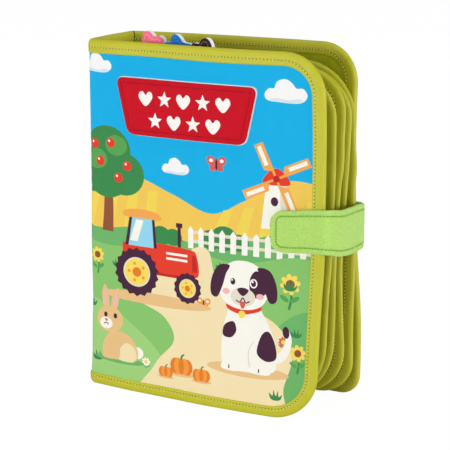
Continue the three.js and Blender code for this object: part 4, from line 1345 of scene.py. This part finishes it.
def pocketPiece():
    s = pocket
    wide, high = s["grid"]
    points = []
    for layer in (0, s["thick"]):
        for z in np.linspace(s["bottom"], s["top"], high):
            for x in np.linspace(s["left"], s["right"], wide):
                fromSide, fromBottom = min(x - s["left"], s["right"] - x), z - s["bottom"]
                shares = fromSide / s["sideReach"], fromBottom / s["bottomReach"]
                rise = min(1 - (1 - min(share, 1)) ** 2.4 for share in shares)
                page = leaves["firstY"] - pillowHalf(x - leaves["axisX"], z - leaves["bottom"]) - 1.0
                face = page + (s["front"] - page) * rise
                sag = 0.4 * math.sin(x / 7) * fromBottom / (s["top"] - s["bottom"])
                points.append((x, min(face + layer + sag * rise * (layer == 0), page + layer), z))
    n = wide * high
    faces = []
    for r in range(high - 1):
        for a in range(r * wide, r * wide + wide - 1):
            faces += [[a, a + 1, a + wide + 1, a + wide], [n + a, n + a + wide, n + a + wide + 1, n + a + 1]]
    rim = list(range(wide)) + list(range(2 * wide - 1, wide * high, wide))
    rim += list(range(wide * high - 2, wide * (high - 1) - 1, -1)) + list(range(wide * (high - 2), 0, -wide))
    faces += [[q, p, p + n, q + n] for p, q in zip(rim, rim[1:] + rim[:1])]
    piece = meshPiece("figure_pocket_felt", points, faces, [finish["felt"]])
    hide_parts("figure_pocket")
    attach(piece, "leaf_1")


pocketPiece()
print("figures and pocket made")

# Strap: a velvet band from the back cover round the fore-edge onto the front cover
strap = {
    "thick": 3.0,
    # half the width that its section is drawn at
    "half": 15,
    "tipRadius": 8,
    "seam": 3.9,
    # how far from the tab's tip its two pieces meet
    "middle": 80.0,
    # along each cover: where it is laid, at what height, and how far off the face
    "frontLay": ((144.8, 153, 161, 169, 176), 132, 0.8),
    "backLay": ((171, 160, 148, 134, 120), 126, 0.1),
    # plan of the part round the fore-edge, from the front cover to the back one
    "side": [
        (183.6, -1.6), (186.8, 3.4), (188.2, 11), (188, 22), (186.6, 36), (185.2, 50), (184.2, 58.4),
        (182, 63.4), (178.6, 65.9),
    ],
    # (length from the tab's tip, middle height, width)
    "rise": [
        (0, 131.8, 27.4), (10, 132.2, 28.4), (28, 133.7, 29.2), (38, 134.0, 30.2), (52, 131.4, 31.4),
        (70, 128.9, 32.4), (88, 127.2, 32.6), (104, 125.8, 31), (124, 125.4, 30.6), (180, 125.4, 30.4),
    ],
    # shares of the half width, and depths at the rim, from the outer face's middle to the inner one's
    "outer": (0.0, 0.2, 0.4, 0.55, 0.63, 0.68, 0.71, 0.74, 0.77, 0.8, 0.85, 0.9),
    "rim": [
        (0.945, 0.05), (0.975, 0.35), (0.995, 0.9), (1.0, 1.5), (0.995, 2.1), (0.975, 2.65), (0.945, 2.95),
    ],
    "inner": (0.85, 0.6, 0.3, 0.0),
    "stitch": {"pitch": 2.0, "length": 1.2, "thick": 0.24, "wide": 0.5, "holeShadeRadius": 0.42},
    # where the tab bends from the side, and the side from the anchor
    "tabBend": [(187, 9, 130), (176, -3, 130)],
    "anchorBend": [(173, 66, 130), (183.5, 57, 130)],
}


def strapCourse():
    s = strap
    half = s["thick"] / 2
    xs, z, gap = s["frontLay"]
    front = [onJacket([(x, z, -gap - half)])[0][:2] for x in xs]
    xs, z, gap = s["backLay"]
    back = [onJacket([(backEnd + jacket["width"] - x, z, -gap - half)])[0][:2] for x in xs]
    fine = np.array(smoothCurve(front + s["side"] + back, 12))
    run = np.concatenate([[0], np.cumsum(np.linalg.norm(np.diff(fine, axis=0), axis=1))])
    way = np.gradient(fine, run, axis=0)
    way /= np.linalg.norm(way, axis=1)[:, None]
    return fine, run, np.stack([way[:, 1], -way[:, 0]], 1)


strapFine, strapRun, strapNormal = strapCourse()
strapLength = float(strapRun[-1])


# (run, z, depth) on the strap: z is from its middle line on a band 30 mm wide, depth is under its outer face
def onStrap(points):
    run, across, depth = np.asarray(points, float).T
    middle = [(r, m) for r, m, w in strap["rise"]]
    width = [(r, w) for r, m, w in strap["rise"]]
    out = strap["thick"] / 2 - depth
    x = np.interp(run, strapRun, strapFine[:, 0]) + np.interp(run, strapRun, strapNormal[:, 0]) * out
    y = np.interp(run, strapRun, strapFine[:, 1]) + np.interp(run, strapRun, strapNormal[:, 1]) * out
    z = smoothRun(middle, run) + across * smoothRun(width, run) / (2 * strap["half"])
    return np.stack([x, y, z], 1)


def strapPiece(name, start, end, tip):
    s = strap
    r, full = s["tipRadius"], s["half"]
    near = np.array([0.02, 0.15, 0.4, 0.8, 1.4])
    near = start + near if tip == "start" else end - near
    steps = np.unique(np.concatenate([np.arange(start, end, 0.8), [end], near]))
    side = [(share, -0.12) for share in s["outer"]] + s["rim"] + [(share, s["thick"]) for share in s["inner"]]
    section = side + [(-share, d) for share, d in side[::-1][1:-1]]
    points = []
    for run in steps:
        fromTip = min(run, strapLength - run)
        # both tips are rounded
        half = full - r + math.sqrt(max(r * r - (r - min(max(fromTip, 0), r)) ** 2, 0))
        ripple = 0.1 * math.sin(run / 2.2 + 1.5 * math.sin(run / 7))
        for share, d in section:
            past, aside = r - fromTip, abs(share) * half - (full - r)
            rounded = past > 0 and aside > 0
            edge = r - math.hypot(past, aside) if rounded else min(fromTip, full - abs(share) * half)
            groove = (0.5 * math.exp(-((edge - s["seam"]) / 0.95) ** 2) - 0.1 * (edge > 5)) * (d < 0)
            z = share * half + 0.12 * math.sin(run / 3.3) * share
            points.append((run, z, d + groove - ripple * abs(share) * (d < 1)))
    return meshPiece(name, onStrap(points), tubeFaces(len(steps), len(section)), [finish["strap"]])


def strapStitches(name, tip):
    # one seam along an edge, round the tip and back along the other edge
    s = strap
    half, radius = s["half"] - s["seam"], s["tipRadius"] - s["seam"]
    if tip == "start":
        end, centre, turns = s["middle"], s["seam"] + radius, (90, 180, 270)
    else:
        end, centre, turns = s["middle"], strapLength - s["seam"] - radius, (90, 0, -90)
    ring = [(end, half)] + cornerArc((centre, half - radius), radius, *turns[:2])
    ring += cornerArc((centre, radius - half), radius, *turns[1:]) + [(end, -half)]
    finishes = [finish["strapThread"], finish["strapHoleShade"]]
    return stitchPiece(name, [(edgePath(ring, 1.0), onStrap, 0, 0.12, 1)], finishes, **s["stitch"])


tab = strapPiece("strap_front", 0.0, strap["middle"], "start")
anchor = strapPiece("strap_back", strap["middle"], strapLength, "end")
tabStitches = strapStitches("strap_front_stitches", "start")
anchorStitches = strapStitches("strap_back_stitches", "end")
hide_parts("strap_tab", "strap_side")
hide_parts("strap_anchor")
for piece in (tab, tabStitches):
    bendBetween(piece, "strap_side", "strap_tab", *strap["tabBend"])
for piece in (anchor, anchorStitches):
    bendBetween(piece, "back_cover", "strap_side", *strap["anchorBend"])


# Touch-and-close pair: a box is (left, right, low, high), and face and back are depths
touchPatches = {
    "loop": {
        "node": "cover_loop_patch", "body": "front_cover", "place": onJacket, "radius": 1.5,
        "box": (145.2, 169.2, 120, 140.5), "face": 0.0, "back": 0.6,
    },
    "hook": {
        "node": "strap_hook_patch", "body": "strap_tab", "place": onStrap, "radius": 1.5,
        "box": (3.5, 23.5, -10.2, 10.2), "face": 2.95, "back": 3.75,
    },
}


def touchPatch(kind):
    s = touchPatches[kind]
    left, right, low, high = s["box"]
    r = s["radius"]
    ring = []
    for centre, turn in (
        ((right - r, low + r), -90), ((right - r, high - r), 0), ((left + r, high - r), 90),
        ((left + r, low + r), 180),
    ):
        ring += cornerArc(centre, r, turn, turn + 90, 6)
    back, finishes = s["back"], {"ground": finish[kind]}
    piece = puffPiece(kind + "_patch", ring, [], s["place"], back, back - s["face"], finishes, step=2)
    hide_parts(s["node"])
    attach(piece, s["body"])


for kind in touchPatches:
    touchPatch(kind)
print("strap made")

# Floor, lamps and camera
stage = {
    "ambient": 0.36,
    "lamps": [
        # (place, what it faces, width and height in metres, watts)
        ((-500, -2300, 300), (109, 0, 130), 1.6, 0.8, 37),
        ((2500, 250, 300), (109, 0, 130), 1.2, 0.7, 35),
        ((109, -300, 2500), (109, -200, 0), 1.6, 1.2, 16),
    ],
    # half the floor's side in metres, how bright the camera sees it, and how much of that hides the shadow
    "floor": (4.0, 1.04, 0.93),
    "target": (109.3, 0, 130.8),
    "azimuth": 27.62,
    "elevation": 13.35,
    "distance": 1055,
    "lens": 125.44,
}


def aim(item, place, target):
    place, target = (Vector(p) for p in toRow([place, target]))
    item.location = place
    item.rotation_euler = (target - place).to_track_quat("-Z", "Y").to_euler()
    bpy.context.scene.collection.objects.link(item)


def seenByCamera(tree, lighting, seen, share):
    # the camera sees a share of the second shader, and all other rays meet the first one
    ray = tree.nodes.new("ShaderNodeLightPath").outputs["Is Camera Ray"]
    mix = tree.nodes.new("ShaderNodeMixShader")
    tree.links.new(mathNode(tree, "MULTIPLY", ray, share), mix.inputs["Fac"])
    tree.links.new(lighting, mix.inputs[1])
    tree.links.new(seen, mix.inputs[2])
    return mix.outputs[0]


def makeFloor():
    # white to the camera, with only the soft shadow of what stands on it
    r, brightness, share = stage["floor"]
    mesh = bpy.data.meshes.new("floor")
    mesh.from_pydata([(-r, -r, 0), (r, -r, 0), (r, r, 0), (-r, r, 0)], [], [(0, 1, 2, 3)])
    floor = bpy.data.objects.new("floor", mesh)
    bpy.context.scene.collection.objects.link(floor)
    material = bpy.data.materials.new("floor_paper")
    material.use_nodes = True
    tree = material.node_tree
    shader = tree.nodes["Principled BSDF"]
    shader.inputs["Base Color"].default_value = (0.9, 0.9, 0.9, 1)
    shader.inputs["Roughness"].default_value = 0.9
    shader.inputs["Specular IOR Level"].default_value = 0.1
    glow = tree.nodes.new("ShaderNodeEmission")
    glow.inputs["Strength"].default_value = brightness
    surface = seenByCamera(tree, shader.outputs[0], glow.outputs[0], share)
    tree.links.new(surface, tree.nodes["Material Output"].inputs["Surface"])
    mesh.materials.append(material)


def makeWorld():
    world = bpy.data.worlds.new("studio")
    bpy.context.scene.world = world
    world.use_nodes = True
    tree = world.node_tree
    tree.nodes.clear()
    shaders = []
    for strength in (stage["ambient"], 1.0):
        node = tree.nodes.new("ShaderNodeBackground")
        node.inputs["Color"].default_value = (1, 1, 1, 1)
        node.inputs["Strength"].default_value = strength
        shaders.append(node.outputs[0])
    out = tree.nodes.new("ShaderNodeOutputWorld")
    tree.links.new(seenByCamera(tree, *shaders, 1.0), out.inputs["Surface"])


def makeLamps():
    for place, target, wide, high, watts in stage["lamps"]:
        lamp = bpy.data.lights.new("softbox", "AREA")
        lamp.shape = "RECTANGLE"
        lamp.size, lamp.size_y = wide, high
        lamp.energy = watts
        box = bpy.data.objects.new("softbox", lamp)
        box.visible_camera = False
        aim(box, place, target)


def makeCamera():
    camera = bpy.data.cameras.new("camera")
    camera.lens = stage["lens"]
    camera.sensor_width = 36
    camera.clip_start, camera.clip_end = 0.05, 20
    holder = bpy.data.objects.new("camera", camera)
    a, e = math.radians(stage["azimuth"]), math.radians(stage["elevation"])
    back = Vector((math.sin(a) * math.cos(e), -math.cos(a) * math.cos(e), math.sin(e)))
    aim(holder, Vector(stage["target"]) + back * stage["distance"], stage["target"])
    bpy.context.scene.camera = holder


makeFloor()
makeWorld()
makeLamps()
makeCamera()
bpy.context.scene.view_settings.view_transform = "Standard"
print("stage ready")
